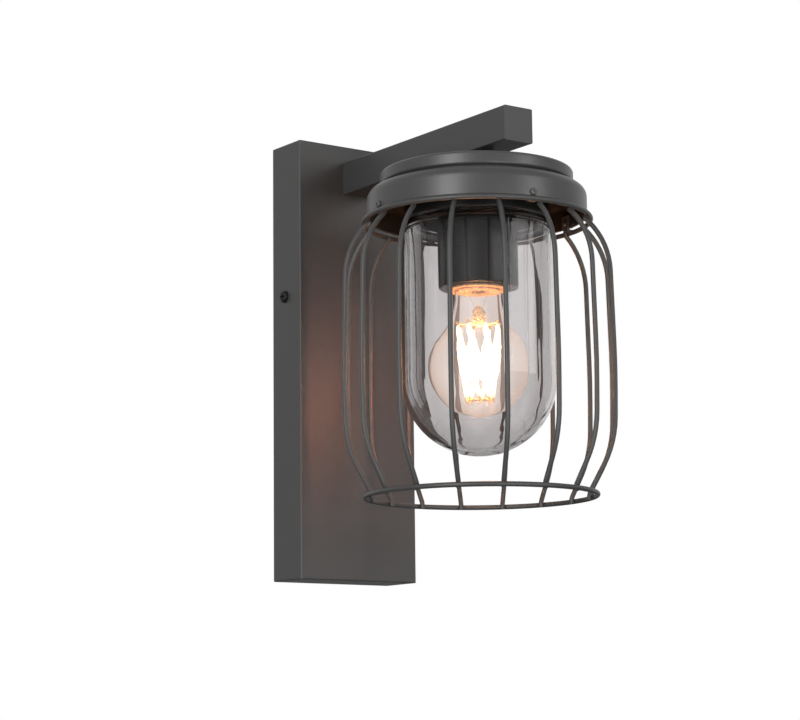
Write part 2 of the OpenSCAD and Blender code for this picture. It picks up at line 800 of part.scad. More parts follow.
module cap_shell() {
    color("#5a5a59") difference() {
        spun() difference() {
            union() {
                round_topped(disc_d / 2, disc_under, cap_top, disc_round);
                translate([0, skirt_top - 0.01]) square([groove_d / 2, groove_h + 0.02]);
                round_topped(skirt_d / 2, skirt_low, skirt_top, skirt_round);
            }
            round_topped(skirt_d / 2 - cap_wall, skirt_low - cut, skirt_top - cap_wall,
                skirt_round - cap_wall);
            translate([0, skirt_low]) square([groove_d / 2 - cap_wall, cap_ceiling - skirt_low]);
        }
        at_lamp() translate([0, 0, cap_ceiling - cut]) cylinder(d = tube_hole_d, h = cap_wall + 2 * cut);
        at_cage_screws() translate([0, 0, -2 * cap_wall])
            cylinder(d = cage_screw_d + screw_slack, h = 3 * cap_wall);
    }
}

module cap_spacer() {
    color("#a9acad") ring_tube(spacer_d, tube_hole_d, plate_top, cap_ceiling);
}

module glass_holder() {
    color("#191918") difference() {
        at_lamp() translate([0, 0, holder_low]) cylinder(r = holder_r + holder_wall, h = plate_top - holder_low);
        at_lamp() translate([0, 0, holder_low - cut]) cylinder(r = holder_r, h = plate_under - holder_low + cut);
        at_lamp() translate([0, 0, plate_under - cut]) cylinder(d = tube_hole_d, h = holder_plate_t + 2 * cut);
    }
}

module glass_gasket() {
    color("#d9d9d4") ring_tube(neck_d, neck_d - 4 * glass_wall, plate_under - gasket_t, plate_under);
}

module lock_washer() {
    washer_top = sleeve_top - sleeve_wall;
    color("#c9cbcc") ring_tube(18, tube_d + screw_slack, washer_top - washer_t, washer_top);
}

module clamp_nut() {
    color("#c9b060") difference() {
        at_lamp() translate([0, 0, nut_under]) cylinder(d = nut_flats / cos(30), h = nut_h, $fn = 6);
        at_lamp() translate([0, 0, nut_under - cut]) cylinder(d = tube_d + thread_slack, h = nut_h + 2 * cut);
    }
}

module lampholder_sleeve() {
    color("#1b1b1b") spun() difference() {
        translate([0, mouth_z]) square([sleeve_d / 2, sleeve_len]);
        translate([0, mouth_z + lip_t]) square([sleeve_d / 2 - sleeve_wall, sleeve_len - lip_t - sleeve_wall]);
        translate([0, mouth_z - cut]) square([mouth_d / 2, lip_t + 2 * cut]);
        translate([0, sleeve_top - 2 * sleeve_wall]) square([tube_hole_d / 2, 3 * sleeve_wall]);
    }
}

module lampholder_dome() {
    dome_wall = 1.8;
    step_z = dome_top - 5;
    color("#2a2a29") spun() difference() {
        union() {
            round_topped(body_d / 2, dome_under, step_z, 5);
            translate([0, dome_under]) square([8, dome_top - dome_under]);
        }
        round_topped(body_d / 2 - dome_wall, dome_under - cut, step_z - dome_wall, 5 - dome_wall);
        square([tube_d / 2 + thread_slack / 2, dome_top + cut]);
    }
}

module lampholder_terminals() {
    color("#b8903c") for (x = [-1, 1]) {
        at_lamp() translate([x * terminal_x, 0, dome_under]) difference() {
            translate([-terminal_w / 2, -terminal_w / 2, 0]) cube([terminal_w, terminal_w, terminal_h]);
            translate([-x * (terminal_w / 2 + cut), 0, terminal_h / 2]) rotate([0, x * 90, 0])
                cylinder(d = terminal_hole, h = terminal_w - 1);
            translate([0, 0, terminal_h / 2]) cylinder(d = clamp_screw_d + thread_slack, h = terminal_h);
        }
    }
}

module terminal_screws() {
    color("#c9cbcc") for (x = [-1, 1]) {
        at_lamp() translate([x * terminal_x, 0, dome_under + terminal_h])
            slot_screw(clamp_screw_d, (terminal_h - terminal_hole) / 2, 4, 1.3);
    }
}

module lampholder_body() {
    color("#ece6da") difference() {
        spun() difference() {
            translate([0, body_low]) square([body_d / 2, dome_under - body_low]);
            translate([0, body_low - cut]) square([body_bore / 2, shell_top + 0.1 - body_low + cut]);
            translate([0, shell_top]) square([body_bore / 2 - 1.2, floor_z - shell_top]);
        }
        at_lamp() translate([0, 0, floor_z - cut]) cylinder(d = 3.4, h = dome_under - floor_z + 2 * cut);
    }
}

module lampholder_shell() {
    beads = floor((shell_top - shell_low - 2) / thread_pitch);
    color("#cfc6a4") spun() {
        translate([shell_r - shell_wall, shell_low]) square([shell_wall, shell_top - shell_low]);
        for (i = [0:beads - 1]) {
            translate([shell_r - shell_wall, shell_low + 2.5 + i * thread_pitch]) intersection() {
                circle(r = shell_bead);
                translate([-shell_bead, -shell_bead]) square([shell_bead + 0.05, 2 * shell_bead]);
            }
        }
    }
}

module lampholder_contact() {
    strip = 0.5;
    color("#b8903c") {
        at_lamp() translate([-9, -3, tip_z + seat_gap]) cube([18, 6, strip]);
        at_lamp() translate([0, 0, tip_z + seat_gap]) cylinder(d = 3.2, h = dome_under - tip_z);
    }
}

// Places of the cage screws, with Z pointing away from the lamp's axis and height 0 on the skirt
module at_cage_screws() {
    for (i = [0:lug_count - 1]) {
        at_lamp() rotate([0, 0, cage_turn + lug_turn + i * 360 / lug_count])
            translate([skirt_d / 2, 0, cage_screw_z]) rotate([0, 90, 0]) children();
    }
}

module cage_top_ring() {
    color("#4a4a49") spun() translate([top_ring_r, top_ring_z]) circle(d = wire_d);
}

module cage_low_ring() {
    color("#4a4a49") spun() translate([low_ring_r, low_ring_z]) circle(d = wire_d);
}

// Path of a cage wire in its own plane, from the upper ring down to the lower ring
function cage_path() = let (
    down = [sin(top_lean), -cos(top_lean)],
    weld = [top_ring_r, top_ring_z] - weld_off * [cos(top_lean), sin(top_lean)],
    slope = tan(mid_lean), mid = [cage_r, top_ring_z - swell_drop],
    reach = (mid[0] - weld[0] - (weld[1] - mid[1]) * slope) / (down[0] + down[1] * slope),
    knee_z = low_ring_z + foot_rise, foot_r = low_ring_r - weld_off) [
    [weld[0] - down[0] * 1.2, weld[1] - down[1] * 1.2, 0],
    [weld[0] + down[0] * reach, weld[1] + down[1] * reach, top_bend],
    [mid[0], mid[1], mid_bend],
    [mid[0] - (mid[1] - knee_z) * slope, knee_z, low_bend],
    [foot_r, low_ring_z + 1.6, end_bend],
    [foot_r, low_ring_z - wire_d / 2, 0]];

module cage_wires() {
    color("#4a4a49") at_lamp() for (i = [0:wire_count - 1]) {
        rotate([0, 0, cage_turn + i * 360 / wire_count])
            swept(bent_route(cage_path()), wire_d, [0, 1, 0]);
    }
}

module cage_lugs() {
    foot_z = top_ring_z - lug_t / 2;
    foot_end = sqrt(pow(top_ring_r - wire_d / 2 - weld_gap, 2) - pow(lug_foot_w / 2, 2));
    inner_r = lug_outer_r - lug_t;
    color("#4a4a49") for (i = [0:lug_count - 1]) {
        at_lamp() rotate([0, 0, cage_turn + lug_turn + i * 360 / lug_count]) difference() {
            union() {
                translate([inner_r, -lug_foot_w / 2, foot_z]) cube([foot_end - inner_r, lug_foot_w, lug_t]);
                translate([inner_r, -lug_foot_w / 2, foot_z]) cube([lug_t, lug_foot_w, lug_top - foot_z]);
                translate([inner_r, -lug_w / 2, skirt_low]) cube([lug_t, lug_w, lug_top - skirt_low]);
            }
            translate([inner_r - cut, 0, cage_screw_z]) rotate([0, 90, 0])
                cylinder(d = cage_screw_d + thread_slack, h = lug_t + 2 * cut);
        }
    }
}

module cage_screws() {
    color("#3a3a39") at_cage_screws()
        pan_screw(cage_screw_d, cap_wall + lug_t + 1.6, cage_head_d, cage_head_h);
}

module glass_shade() {
    color([0.82, 0.86, 0.88, 0.35]) spun() difference() {
        jar_profile(glass_r, bowl_z, shoulder_z, glass_round, neck_d / 2, glass_top);
        jar_profile(glass_r - glass_wall, bowl_z, shoulder_z - glass_wall, glass_round - glass_wall,
            neck_d / 2 - glass_wall, glass_top + cut);
    }
}

module bulb_cap() {
    beads = 5;
    color("#cfd0cf") spun() {
        difference() {
            union() {
                translate([0, bulb_cap_low]) square([bulb_cap_r, 3]);
                translate([0, bulb_cap_low]) square([cap_tube_r, bulb_cap_h]);
            }
            translate([0, bulb_cap_low - cut]) square([cap_tube_r - 0.6, bulb_cap_h + 2 * cut]);
        }
        for (i = [0:beads - 1]) {
            translate([cap_tube_r - 0.15, bulb_cap_low + 5 + i * thread_pitch]) intersection() {
                circle(r = bulb_bead);
                translate([-0.3, -bulb_bead]) square([bulb_bead + 0.3, 2 * bulb_bead]);
            }
        }
    }
}

module bulb_insulator() {
    color("#151515") at_lamp() translate([0, 0, bulb_cap_top])
        cylinder(r1 = cap_tube_r - 0.3, r2 = 5.4, h = insulator_h);
}

module bulb_tip() {
    color("#c4c4c0") at_lamp() translate([0, 0, tip_z - bulb_tip_h]) cylinder(d = 9.4, h = bulb_tip_h);
}

module bulb_glass() {
    color([0.96, 0.93, 0.86, 0.3]) spun() difference() {
        union() {
            bulb_profile(0, bulb_neck_end);
            translate([0, bulb_neck_end - bulb_wall]) square([bulb_tail_r, 12]);
        }
        bulb_profile(bulb_wall, bulb_neck_end - bulb_wall);
        translate([0, bulb_neck_end - 2]) square([bulb_tail_r - bulb_wall, 15]);
    }
}

module bulb_stem() {
    flare_r = bulb_tail_r - bulb_wall - 0.1;
    flare_h = bulb_neck_end + stem_flare_end - stem_foot_z;
    color([0.9, 0.93, 0.93, 0.4]) at_lamp() {
        translate([0, 0, stem_foot_z]) cylinder(r1 = 2.6, r2 = flare_r, h = flare_h);
        translate([0, 0, stick_low_z - 1]) cylinder(r = stem_rod_r, h = stem_foot_z - stick_low_z + 1.01);
    }
}

// Place of a filament stick's end, as x, y and z
function stick_end(i, r, z, turn) = let (a = (i + 0.5) * 360 / stick_count + turn)
    [r * cos(a), r * sin(a), z];

module bulb_supports() {
    inner = stem_rod_r * 0.8;
    color("#b9b9b4") for (i = [0:stick_count - 1]) {
        at_lamp() rotate([0, 0, (i + 0.5) * 360 / stick_count]) translate([inner, 0, stick_top_z])
            rotate([0, 90, 0]) cylinder(d = support_d, h = stick_top_r - inner + 0.5);
        at_lamp() rotate([0, 0, (i + 0.5) * 360 / stick_count + stick_twist])
            translate([inner, 0, stick_low_z]) rotate([0, 90, 0])
            cylinder(d = support_d, h = stick_low_r - inner + 0.5);
    }
}

module bulb_filaments() {
    color("#ffd98a") for (i = [0:stick_count - 1]) {
        from = stick_end(i, stick_low_r, stick_low_z, stick_twist);
        way = stick_end(i, stick_top_r, stick_top_z, 0) - from;
        at_lamp() translate(from) rotate([0, acos(way[2] / norm(way)), atan2(way[1], way[0])])
            cylinder(d = stick_d, h = norm(way));
    }
}

wall_box();
wall_bracket();
side_screws();
terminal_block();
terminal_clamps();
clamp_screws();
block_screws();
earth_lug();
earth_washer();
earth_screw();
lead_live();
lead_neutral();
lead_earth();
lead_sleeve();
arm_clamp_plate();
arm_screws();
arm_root_block();
arm_tube();
arm_end_plate();
arm_boss();
cap_seal();
threaded_tube();
cap_shell();
cap_spacer();
glass_holder();
glass_gasket();
lock_washer();
clamp_nut();
lampholder_sleeve();
lampholder_dome();
lampholder_terminals();
terminal_screws();
lampholder_body();
lampholder_shell();
lampholder_contact();
cage_top_ring();
cage_low_ring();
cage_wires();
cage_lugs();
cage_screws();
glass_shade();
bulb_cap();
bulb_insulator();
bulb_tip();
bulb_glass();
bulb_stem();
bulb_supports();
bulb_filaments();
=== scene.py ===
# An outdoor wall light: a tall wall box and a square arm, a round cap under the arm, and in a cage
# of bent wires below it a clear glass with a lit filament bulb. The sections follow the light from
# the wall outwards, and then from the cap down to the bulb. Sizes in the sections are millimetres.
import math

import bpy
from mathutils import Matrix, Vector, noise


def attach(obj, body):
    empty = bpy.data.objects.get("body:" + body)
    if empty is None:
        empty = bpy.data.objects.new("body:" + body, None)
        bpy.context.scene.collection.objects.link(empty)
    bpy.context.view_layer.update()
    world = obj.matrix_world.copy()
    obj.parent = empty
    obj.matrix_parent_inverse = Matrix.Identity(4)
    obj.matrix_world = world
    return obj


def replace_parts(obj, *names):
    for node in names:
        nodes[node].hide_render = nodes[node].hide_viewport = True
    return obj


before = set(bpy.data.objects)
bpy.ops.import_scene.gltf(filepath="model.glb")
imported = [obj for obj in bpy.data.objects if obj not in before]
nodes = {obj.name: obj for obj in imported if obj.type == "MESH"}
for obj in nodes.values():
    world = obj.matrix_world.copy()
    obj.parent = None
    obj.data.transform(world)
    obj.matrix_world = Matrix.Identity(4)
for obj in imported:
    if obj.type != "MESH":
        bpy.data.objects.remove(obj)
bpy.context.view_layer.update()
MM = 0.001
scene = bpy.context.scene
scene.view_settings.view_transform = "Standard"

# The studio. A pale floor far below, a white surround, and five soft lamps: a tall one to the left
# of the light, a small one to its right and a low one in front, which light the coated metal, and
# two that light the glasses alone, as the last section sets. Nothing here is part of the light.
YAW, PITCH, ROLL = math.radians(-35.742), math.radians(9.235), math.radians(-0.63)
CAMERA_PLACE, LENS, SENSOR = (-0.83469, -1.23722, -0.23761), 104.52, 36
across = Vector((math.cos(YAW), math.sin(YAW), 0))
ahead = Vector((-math.sin(YAW), math.cos(YAW), 0))
above = Vector((0, 0, 1))
sight = math.cos(PITCH) * ahead + math.sin(PITCH) * above
rise = math.cos(PITCH) * above - math.sin(PITCH) * ahead
cam_x = math.cos(ROLL) * across + math.sin(ROLL) * rise
cam_y = math.cos(ROLL) * rise - math.sin(ROLL) * across
camera = bpy.data.objects.new("camera", bpy.data.cameras.new("camera"))
camera.data.sensor_width = SENSOR
camera.data.lens = LENS
camera.data.clip_start = 0.05
camera.data.clip_end = 50
turned = Matrix((cam_x, cam_y, -sight)).transposed().to_4x4()
camera.matrix_world = Matrix.Translation(CAMERA_PLACE) @ turned
scene.collection.objects.link(camera)
scene.camera = camera

LAMP = Vector((0, -0.1581, 0))


def soft_lamp(name, place, width, height, power):
    """A rectangular white lamp in the studio, turned towards the middle of the cage."""
    data = bpy.data.lights.new(name, "AREA")
    data.shape = "RECTANGLE"
    data.size, data.size_y = width, height
    data.energy = power
    lamp = bpy.data.objects.new(name, data)
    lamp.location = place
    lamp.rotation_euler = (LAMP - Vector(place)).to_track_quat("-Z", "Y").to_euler()
    scene.collection.objects.link(lamp)
    return lamp


left_softbox = soft_lamp("left_softbox", (-1.51, -0.82, 0.15), 0.62, 1.5, 37)
right_softbox = soft_lamp("right_softbox", (0.58, -1.65, 0.3), 0.5, 0.5, 9.5)
front_softbox = soft_lamp("front_softbox", (-0.33, -2.03, -0.5), 0.8, 0.8, 27)
glass_softbox = soft_lamp("glass_softbox", (0.8, -1.544, 0.3), 1.3, 0.4, 7)
glass_left_softbox = soft_lamp("glass_left_softbox", (-0.95, 1.12, 0.1), 0.8, 1.5, 10)
glass_left_softbox.visible_transmission = False


def add_node(tree, kind, values=None, operation=None, data_type=None):
    """A new shader node with its mode, and with values for inputs given by name or number."""
    node = tree.nodes.new(kind)
    if operation:
        node.operation = operation
    if data_type:
        node.data_type = data_type
    for socket, value in (values or {}).items():
        node.inputs[socket].default_value = value
    return node


def link_all(tree, pairs):
    """Links each pair's first socket, an output, to its second."""
    for output, socket in pairs:
        tree.links.new(output, socket)


# The surround is white to the camera, in mirrors and through glass, and gives little light itself.
SURROUND_LIGHT = 0.08
world = bpy.data.worlds.new("surround")
scene.world = world
world.use_nodes = True
sky = world.node_tree.nodes["Background"]
sky.inputs["Color"].default_value = (1, 1, 1, 1)
sky_ray = add_node(world.node_tree, "ShaderNodeLightPath")
seen = add_node(world.node_tree, "ShaderNodeMath", operation="MAXIMUM")
seen_or_mirrored = add_node(world.node_tree, "ShaderNodeMath", operation="MAXIMUM")
strength = add_node(world.node_tree, "ShaderNodeMapRange",
                    {"To Min": SURROUND_LIGHT, "To Max": 1.0})
link_all(world.node_tree, (
    (sky_ray.outputs["Is Camera Ray"], seen.inputs[0]),
    (sky_ray.outputs["Is Transmission Ray"], seen.inputs[1]),
    (seen.outputs[0], seen_or_mirrored.inputs[0]),
    (sky_ray.outputs["Is Glossy Ray"], seen_or_mirrored.inputs[1]),
    (seen_or_mirrored.outputs[0], strength.inputs["Value"]),
    (strength.outputs["Result"], sky.inputs["Strength"])))


def mesh_of(name, points, faces, edges=()):
    """A new mesh of the points, in metres, and of faces and edges by the points' numbers."""
    mesh = bpy.data.meshes.new(name)
    mesh.from_pydata(points, edges, faces)
    return mesh


FLOOR_Z, FLOOR_HALF, FLOOR_GLOW = -0.8, 4, 0.62
floor_corners = [(x * FLOOR_HALF, y * FLOOR_HALF, FLOOR_Z)
                 for x, y in ((-1, -1), (1, -1), (1, 1), (-1, 1))]
floor = bpy.data.objects.new("floor", mesh_of("floor", floor_corners, [(0, 1, 2, 3)]))
scene.collection.objects.link(floor)
floor_paint = bpy.data.materials.new("floor_paint")
floor_paint.use_nodes = True
floor_surface = floor_paint.node_tree.nodes["Principled BSDF"]
floor_surface.inputs["Base Color"].default_value = (0.5, 0.5, 0.5, 1)
floor_surface.inputs["Roughness"].default_value = 0.9
floor_surface.inputs["Emission Color"].default_value = (1, 1, 1, 1)
floor_ray = add_node(floor_paint.node_tree, "ShaderNodeLightPath")
floor_seen = add_node(floor_paint.node_tree, "ShaderNodeMath", operation="MAXIMUM")
floor_glow = add_node(floor_paint.node_tree, "ShaderNodeMath", {1: FLOOR_GLOW}, "MULTIPLY")
link_all(floor_paint.node_tree, (
    (floor_ray.outputs["Is Camera Ray"], floor_seen.inputs[0]),
    (floor_ray.outputs["Is Transmission Ray"], floor_seen.inputs[1]),
    (floor_seen.outputs[0], floor_glow.inputs[0]),
    (floor_glow.outputs[0], floor_surface.inputs["Emission Strength"])))
floor.data.materials.append(floor_paint)


# The wall bracket: a folded plate of zinc-plated steel sheet, screwed to the wall through its four
# slots. Its two side tabs take the screws that hold the wall box.
def finish_of(name, colour, roughness, metallic=0.0, mirror=0.5):
    """A material, its nodes and its Principled BSDF. The last value is how strongly it mirrors."""
    material = bpy.data.materials.new(name)
    material.use_nodes = True
    tree = material.node_tree
    surface = tree.nodes["Principled BSDF"]
    surface.inputs["Base Color"].default_value = (*colour, 1)
    surface.inputs["Roughness"].default_value = roughness
    surface.inputs["Metallic"].default_value = metallic
    surface.inputs["Specular IOR Level"].default_value = mirror
    return material, tree, surface


def effect_group(name, inputs, outputs):
    """An empty shader group with the named inputs and outputs, and its two end nodes."""
    group = bpy.data.node_groups.new(name, "ShaderNodeTree")
    for label, kind, value in inputs:
        socket = group.interface.new_socket(label, in_out="INPUT", socket_type=kind)
        if value is not None:
            socket.default_value = value
    for label, kind in outputs:
        group.interface.new_socket(label, in_out="OUTPUT", socket_type=kind)
    return group, group.nodes.new("NodeGroupInput"), group.nodes.new("NodeGroupOutput")


def run_effect(tree, surface, group, values, bump, depth):
    """Gives a surface the colour, the gloss and the bumps that an effect group makes over it."""
    place = add_node(tree, "ShaderNodeTexCoord")
    effect = tree.nodes.new("ShaderNodeGroup")
    effect.node_tree = group
    for socket, value in values.items():
        effect.inputs[socket].default_value = value
    dent = add_node(tree, "ShaderNodeBump", {"Strength": bump, "Distance": depth})
    link_all(tree, (
        (place.outputs["Object"], effect.inputs["Vector"]),
        (effect.outputs["Color"], surface.inputs["Base Color"]),
        (effect.outputs["Roughness"], surface.inputs["Roughness"]),
        (effect.outputs["Height"], dent.inputs["Height"]),
        (dent.outputs["Normal"], surface.inputs["Normal"])))


FLOAT, VECTOR, COLOUR = "NodeSocketFloat", "NodeSocketVector", "NodeSocketColor"
mottle, mottle_in, mottle_out = effect_group(
    "mottle",
    [("Vector", VECTOR, None), ("Size", FLOAT, 0.004), ("Stretch", FLOAT, 1.0),
     ("Dark", COLOUR, (0.5, 0.5, 0.5, 1)), ("Light", COLOUR, (0.6, 0.6, 0.6, 1)),
     ("Roughness Low", FLOAT, 0.3), ("Roughness High", FLOAT, 0.5)],
    [("Color", COLOUR), ("Roughness", FLOAT), ("Height", FLOAT)])
mottle_scale = add_node(mottle, "ShaderNodeMath", {0: 1.0}, "DIVIDE")
mottle_along = add_node(mottle, "ShaderNodeCombineXYZ", {"X": 1, "Y": 1})
mottle_place = add_node(mottle, "ShaderNodeVectorMath", operation="MULTIPLY")
mottle_noise = add_node(mottle, "ShaderNodeTexNoise", {"Detail": 3})
mottle_tint = add_node(mottle, "ShaderNodeMix", data_type="RGBA")
mottle_rough = add_node(mottle, "ShaderNodeMapRange")
link_all(mottle, (
    (mottle_in.outputs["Size"], mottle_scale.inputs[1]),
    (mottle_scale.outputs[0], mottle_noise.inputs["Scale"]),
    (mottle_in.outputs["Stretch"], mottle_along.inputs["Z"]),
    (mottle_in.outputs["Vector"], mottle_place.inputs[0]),
    (mottle_along.outputs[0], mottle_place.inputs[1]),
    (mottle_place.outputs[0], mottle_noise.inputs["Vector"]),
    (mottle_noise.outputs["Fac"], mottle_tint.inputs["Factor"]),
    (mottle_in.outputs["Dark"], mottle_tint.inputs["A"]),
    (mottle_in.outputs["Light"], mottle_tint.inputs["B"]),
    (mottle_noise.outputs["Fac"], mottle_rough.inputs["Value"]),
    (mottle_in.outputs["Roughness Low"], mottle_rough.inputs["To Min"]),
    (mottle_in.outputs["Roughness High"], mottle_rough.inputs["To Max"]),
    (mottle_tint.outputs["Result"], mottle_out.inputs["Color"]),
    (mottle_rough.outputs["Result"], mottle_out.inputs["Roughness"]),
    (mottle_noise.outputs["Fac"], mottle_out.inputs["Height"])))


def mottled(name, dark, light, rough, size, stretch=1.0, metallic=0.0, bump=0.1, depth=0.0002,
            mirror=0.5):
    """A finish whose colour, gloss and surface vary a little over the piece."""
    material, tree, surface = finish_of(name, light, rough[0], metallic, mirror)
    run_effect(tree, surface, mottle, {
        "Size": size, "Stretch": stretch, "Dark": (*dark, 1), "Light": (*light, 1),
        "Roughness Low": rough[0], "Roughness High": rough[1]}, bump, depth)
    return material


def finish_node(name, material):
    """Gives a carried-over solid its material."""
    slots = nodes[name].data.materials
    slots.clear()
    slots.append(material)


zinc_sheet = mottled("zinc_sheet", (0.42, 0.43, 0.43), (0.62, 0.63, 0.62), (0.28, 0.46), 0.006,
                     stretch=0.25, metallic=1.0, bump=0.08)
finish_node("wall_bracket", zinc_sheet)

# The wall box: a deep aluminium tray with crisp edges and a fine matt anthracite powder coat. It
# slides over the bracket's tabs, and one black screw in each side holds it there.
GRAIN_SIZE, GRAIN_TONE, CLOUD_TONE, GRAIN_ROUGH = 0.0007, 0.14, 0.05, 0.16
grain, grain_in, grain_out = effect_group(
    "powder_grain",
    [("Vector", VECTOR, None), ("Grain Size", FLOAT, GRAIN_SIZE),
     ("Colour", COLOUR, (0.08, 0.08, 0.08, 1)), ("Roughness", FLOAT, 0.45)],
    [("Color", COLOUR), ("Roughness", FLOAT), ("Height", FLOAT)])
grain_scale = add_node(grain, "ShaderNodeMath", {0: 1.0}, "DIVIDE")
grain_noise = add_node(grain, "ShaderNodeTexNoise", {"Detail": 2})
cloud_noise = add_node(grain, "ShaderNodeTexNoise", {"Scale": 60, "Detail": 2})
grain_tone, cloud_tone = (
    add_node(grain, "ShaderNodeMapRange", {"To Min": 1 - spread, "To Max": 1 + spread})
    for spread in (GRAIN_TONE, CLOUD_TONE))
both_tones = add_node(grain, "ShaderNodeMath", operation="MULTIPLY")
toned = add_node(grain, "ShaderNodeVectorMath", operation="SCALE")
grain_spread = add_node(grain, "ShaderNodeMath", {1: GRAIN_ROUGH}, "MULTIPLY_ADD")
grain_shift = add_node(grain, "ShaderNodeMath", {1: GRAIN_ROUGH / 2}, "SUBTRACT")
link_all(grain, (
    (grain_in.outputs["Grain Size"], grain_scale.inputs[1]),
    (grain_scale.outputs[0], grain_noise.inputs["Scale"]),
    (grain_in.outputs["Vector"], grain_noise.inputs["Vector"]),
    (grain_in.outputs["Vector"], cloud_noise.inputs["Vector"]),
    (grain_noise.outputs["Fac"], grain_tone.inputs["Value"]),
    (cloud_noise.outputs["Fac"], cloud_tone.inputs["Value"]),
    (grain_tone.outputs["Result"], both_tones.inputs[0]),
    (cloud_tone.outputs["Result"], both_tones.inputs[1]),
    (grain_in.outputs["Colour"], toned.inputs[0]),
    (both_tones.outputs[0], toned.inputs["Scale"]),
    (toned.outputs["Vector"], grain_out.inputs["Color"]),
    (grain_in.outputs["Roughness"], grain_shift.inputs[0]),
    (grain_noise.outputs["Fac"], grain_spread.inputs[0]),
    (grain_shift.outputs[0], grain_spread.inputs[2]),
    (grain_spread.outputs[0], grain_out.inputs["Roughness"]),
    (grain_noise.outputs["Fac"], grain_out.inputs["Height"])))


def powder_coat(name, colour, roughness, size=GRAIN_SIZE, bump=0.2, mirror=0.27):
    """A matt coat with a fine grain in its colour, its gloss and its surface."""
    material, tree, surface = finish_of(name, colour, roughness, 0.0, mirror)
    run_effect(tree, surface, grain, {
        "Grain Size": size, "Colour": (*colour, 1), "Roughness": roughness}, bump, 0.0001)
    return material


COAT = (0.026, 0.026, 0.0257)
anthracite = powder_coat("anthracite_powder_coat", COAT, 0.45)
finish_node("wall_box", anthracite)

# The two side screws: black pan heads with a cross recess, through the box's sides into the
# bracket's tapped tabs.
finish_node("side_screws", mottled("blackened_screw", (0.003, 0.003, 0.003), (0.007, 0.007, 0.007),
                                   (0.35, 0.5), 0.0012, mirror=0.12))

# The terminal block inside the box: an off-white moulded block with three brass clamps, its zinc
# screws, and the earth screw with its washer and lug beside it.
plain_brass = mottled("plain_brass", (0.52, 0.36, 0.13), (0.72, 0.54, 0.24), (0.22, 0.38), 0.002,
                      metallic=1.0)
zinc_screw = mottled("zinc_screw", (0.46, 0.46, 0.44), (0.66, 0.66, 0.63), (0.22, 0.36), 0.0015,
                     metallic=1.0)
finish_node("terminal_block", mottled("terminal_plastic", (0.62, 0.61, 0.56), (0.74, 0.73, 0.68),
                                      (0.4, 0.5), 0.003))
for name in ("terminal_clamps", "earth_lug"):
    finish_node(name, plain_brass)
for name in ("clamp_screws", "block_screws", "earth_washer", "earth_screw"):
    finish_node(name, zinc_screw)

# The leads: brown, blue, and green with a yellow stripe, from the terminal block through the arm
# to the lampholder, and a woven glass-fibre sleeve over two of them where they enter the arm.
for name, dark, light in (
        ("lead_live", (0.13, 0.05, 0.02), (0.19, 0.08, 0.035)),
        ("lead_neutral", (0.03, 0.1, 0.32), (0.05, 0.15, 0.42))):
    finish_node(name, mottled(name + "_insulation", dark, light, (0.35, 0.45), 0.002))
earth_insulation, earth_tree, earth_surface = finish_of("earth_insulation", (0.2, 0.4, 0.05), 0.4)
earth_place = add_node(earth_tree, "ShaderNodeTexCoord")
earth_stripe = add_node(earth_tree, "ShaderNodeTexWave", {"Scale": 90})
earth_colours = add_node(earth_tree, "ShaderNodeValToRGB")
earth_green, earth_yellow = earth_colours.color_ramp.elements
earth_colours.color_ramp.interpolation = "CONSTANT"
earth_green.color = (0.09, 0.27, 0.03, 1)
earth_yellow.position = 0.55
earth_yellow.color = (0.72, 0.62, 0.04, 1)
link_all(earth_tree, (
    (earth_place.outputs["Object"], earth_stripe.inputs["Vector"]),
    (earth_stripe.outputs["Fac"], earth_colours.inputs["Fac"]),
    (earth_colours.outputs["Color"], earth_surface.inputs["Base Color"])))
finish_node("lead_earth", earth_insulation)
finish_node("lead_sleeve", mottled("woven_sleeve", (0.5, 0.46, 0.36), (0.7, 0.66, 0.55), (0.5, 0.7),
                                   0.0006, bump=0.4))

# The arm: a square aluminium tube, closed by a plate at its end, powder coated as the box is. A
# tapped block in its root takes four screws through a zinc plate inside the box's front.
for name in ("arm_tube", "arm_end_plate", "arm_boss"):
    finish_node(name, anthracite)
finish_node("arm_clamp_plate", zinc_sheet)
finish_node("arm_screws", zinc_screw)
finish_node("arm_root_block", mottled("sawn_steel", (0.3, 0.3, 0.3), (0.5, 0.5, 0.5), (0.3, 0.5),
                                      0.001, stretch=6.0, metallic=1.0))

# The threaded tube and what it clamps together: the black seal on the cap, the spacer inside it,
# the lock washer and the nut that hold the glass holder and the lampholder sleeve up.
finish_node("cap_seal", mottled("seal_rubber", (0.012, 0.012, 0.012), (0.022, 0.022, 0.022),
                                (0.6, 0.75), 0.002))
for name in ("threaded_tube", "cap_spacer", "lock_washer", "clamp_nut"):
    finish_node(name, zinc_sheet)


# The cap: one aluminium pressing, spun with a flat disc, a groove below the disc and a deep skirt
# with a rounded shoulder. It is coated as the box is, and its inside is near black, which is
# painted shade.
OUTLINE_STEPS, BEND_STEPS = 48, 75


def corner_arc(before, corner, after, r, per_turn):
    """The points of the round of radius r between two straight lines that meet at a corner, as
    many as a full turn in per_turn steps would give it."""
    here = Vector(corner[:2])
    back = (Vector(before[:2]) - here).normalized()
    on = (Vector(after[:2]) - here).normalized()
    half = math.acos(max(-1, min(1, back.dot(on)))) / 2
    middle = here + (back + on).normalized() * (r / math.sin(half))
    first = here + back * (r / math.tan(half)) - middle
    sweep = math.pi - 2 * half
    sense = 1 if first.x * (here - middle).y - first.y * (here - middle).x > 0 else -1
    start = math.atan2(first.y, first.x)
    steps = max(2, round(per_turn * sweep / math.tau))
    angles = [start + sense * sweep * k / steps for k in range(steps + 1)]
    return [(middle.x + r * math.cos(a), middle.y + r * math.sin(a)) for a in angles]


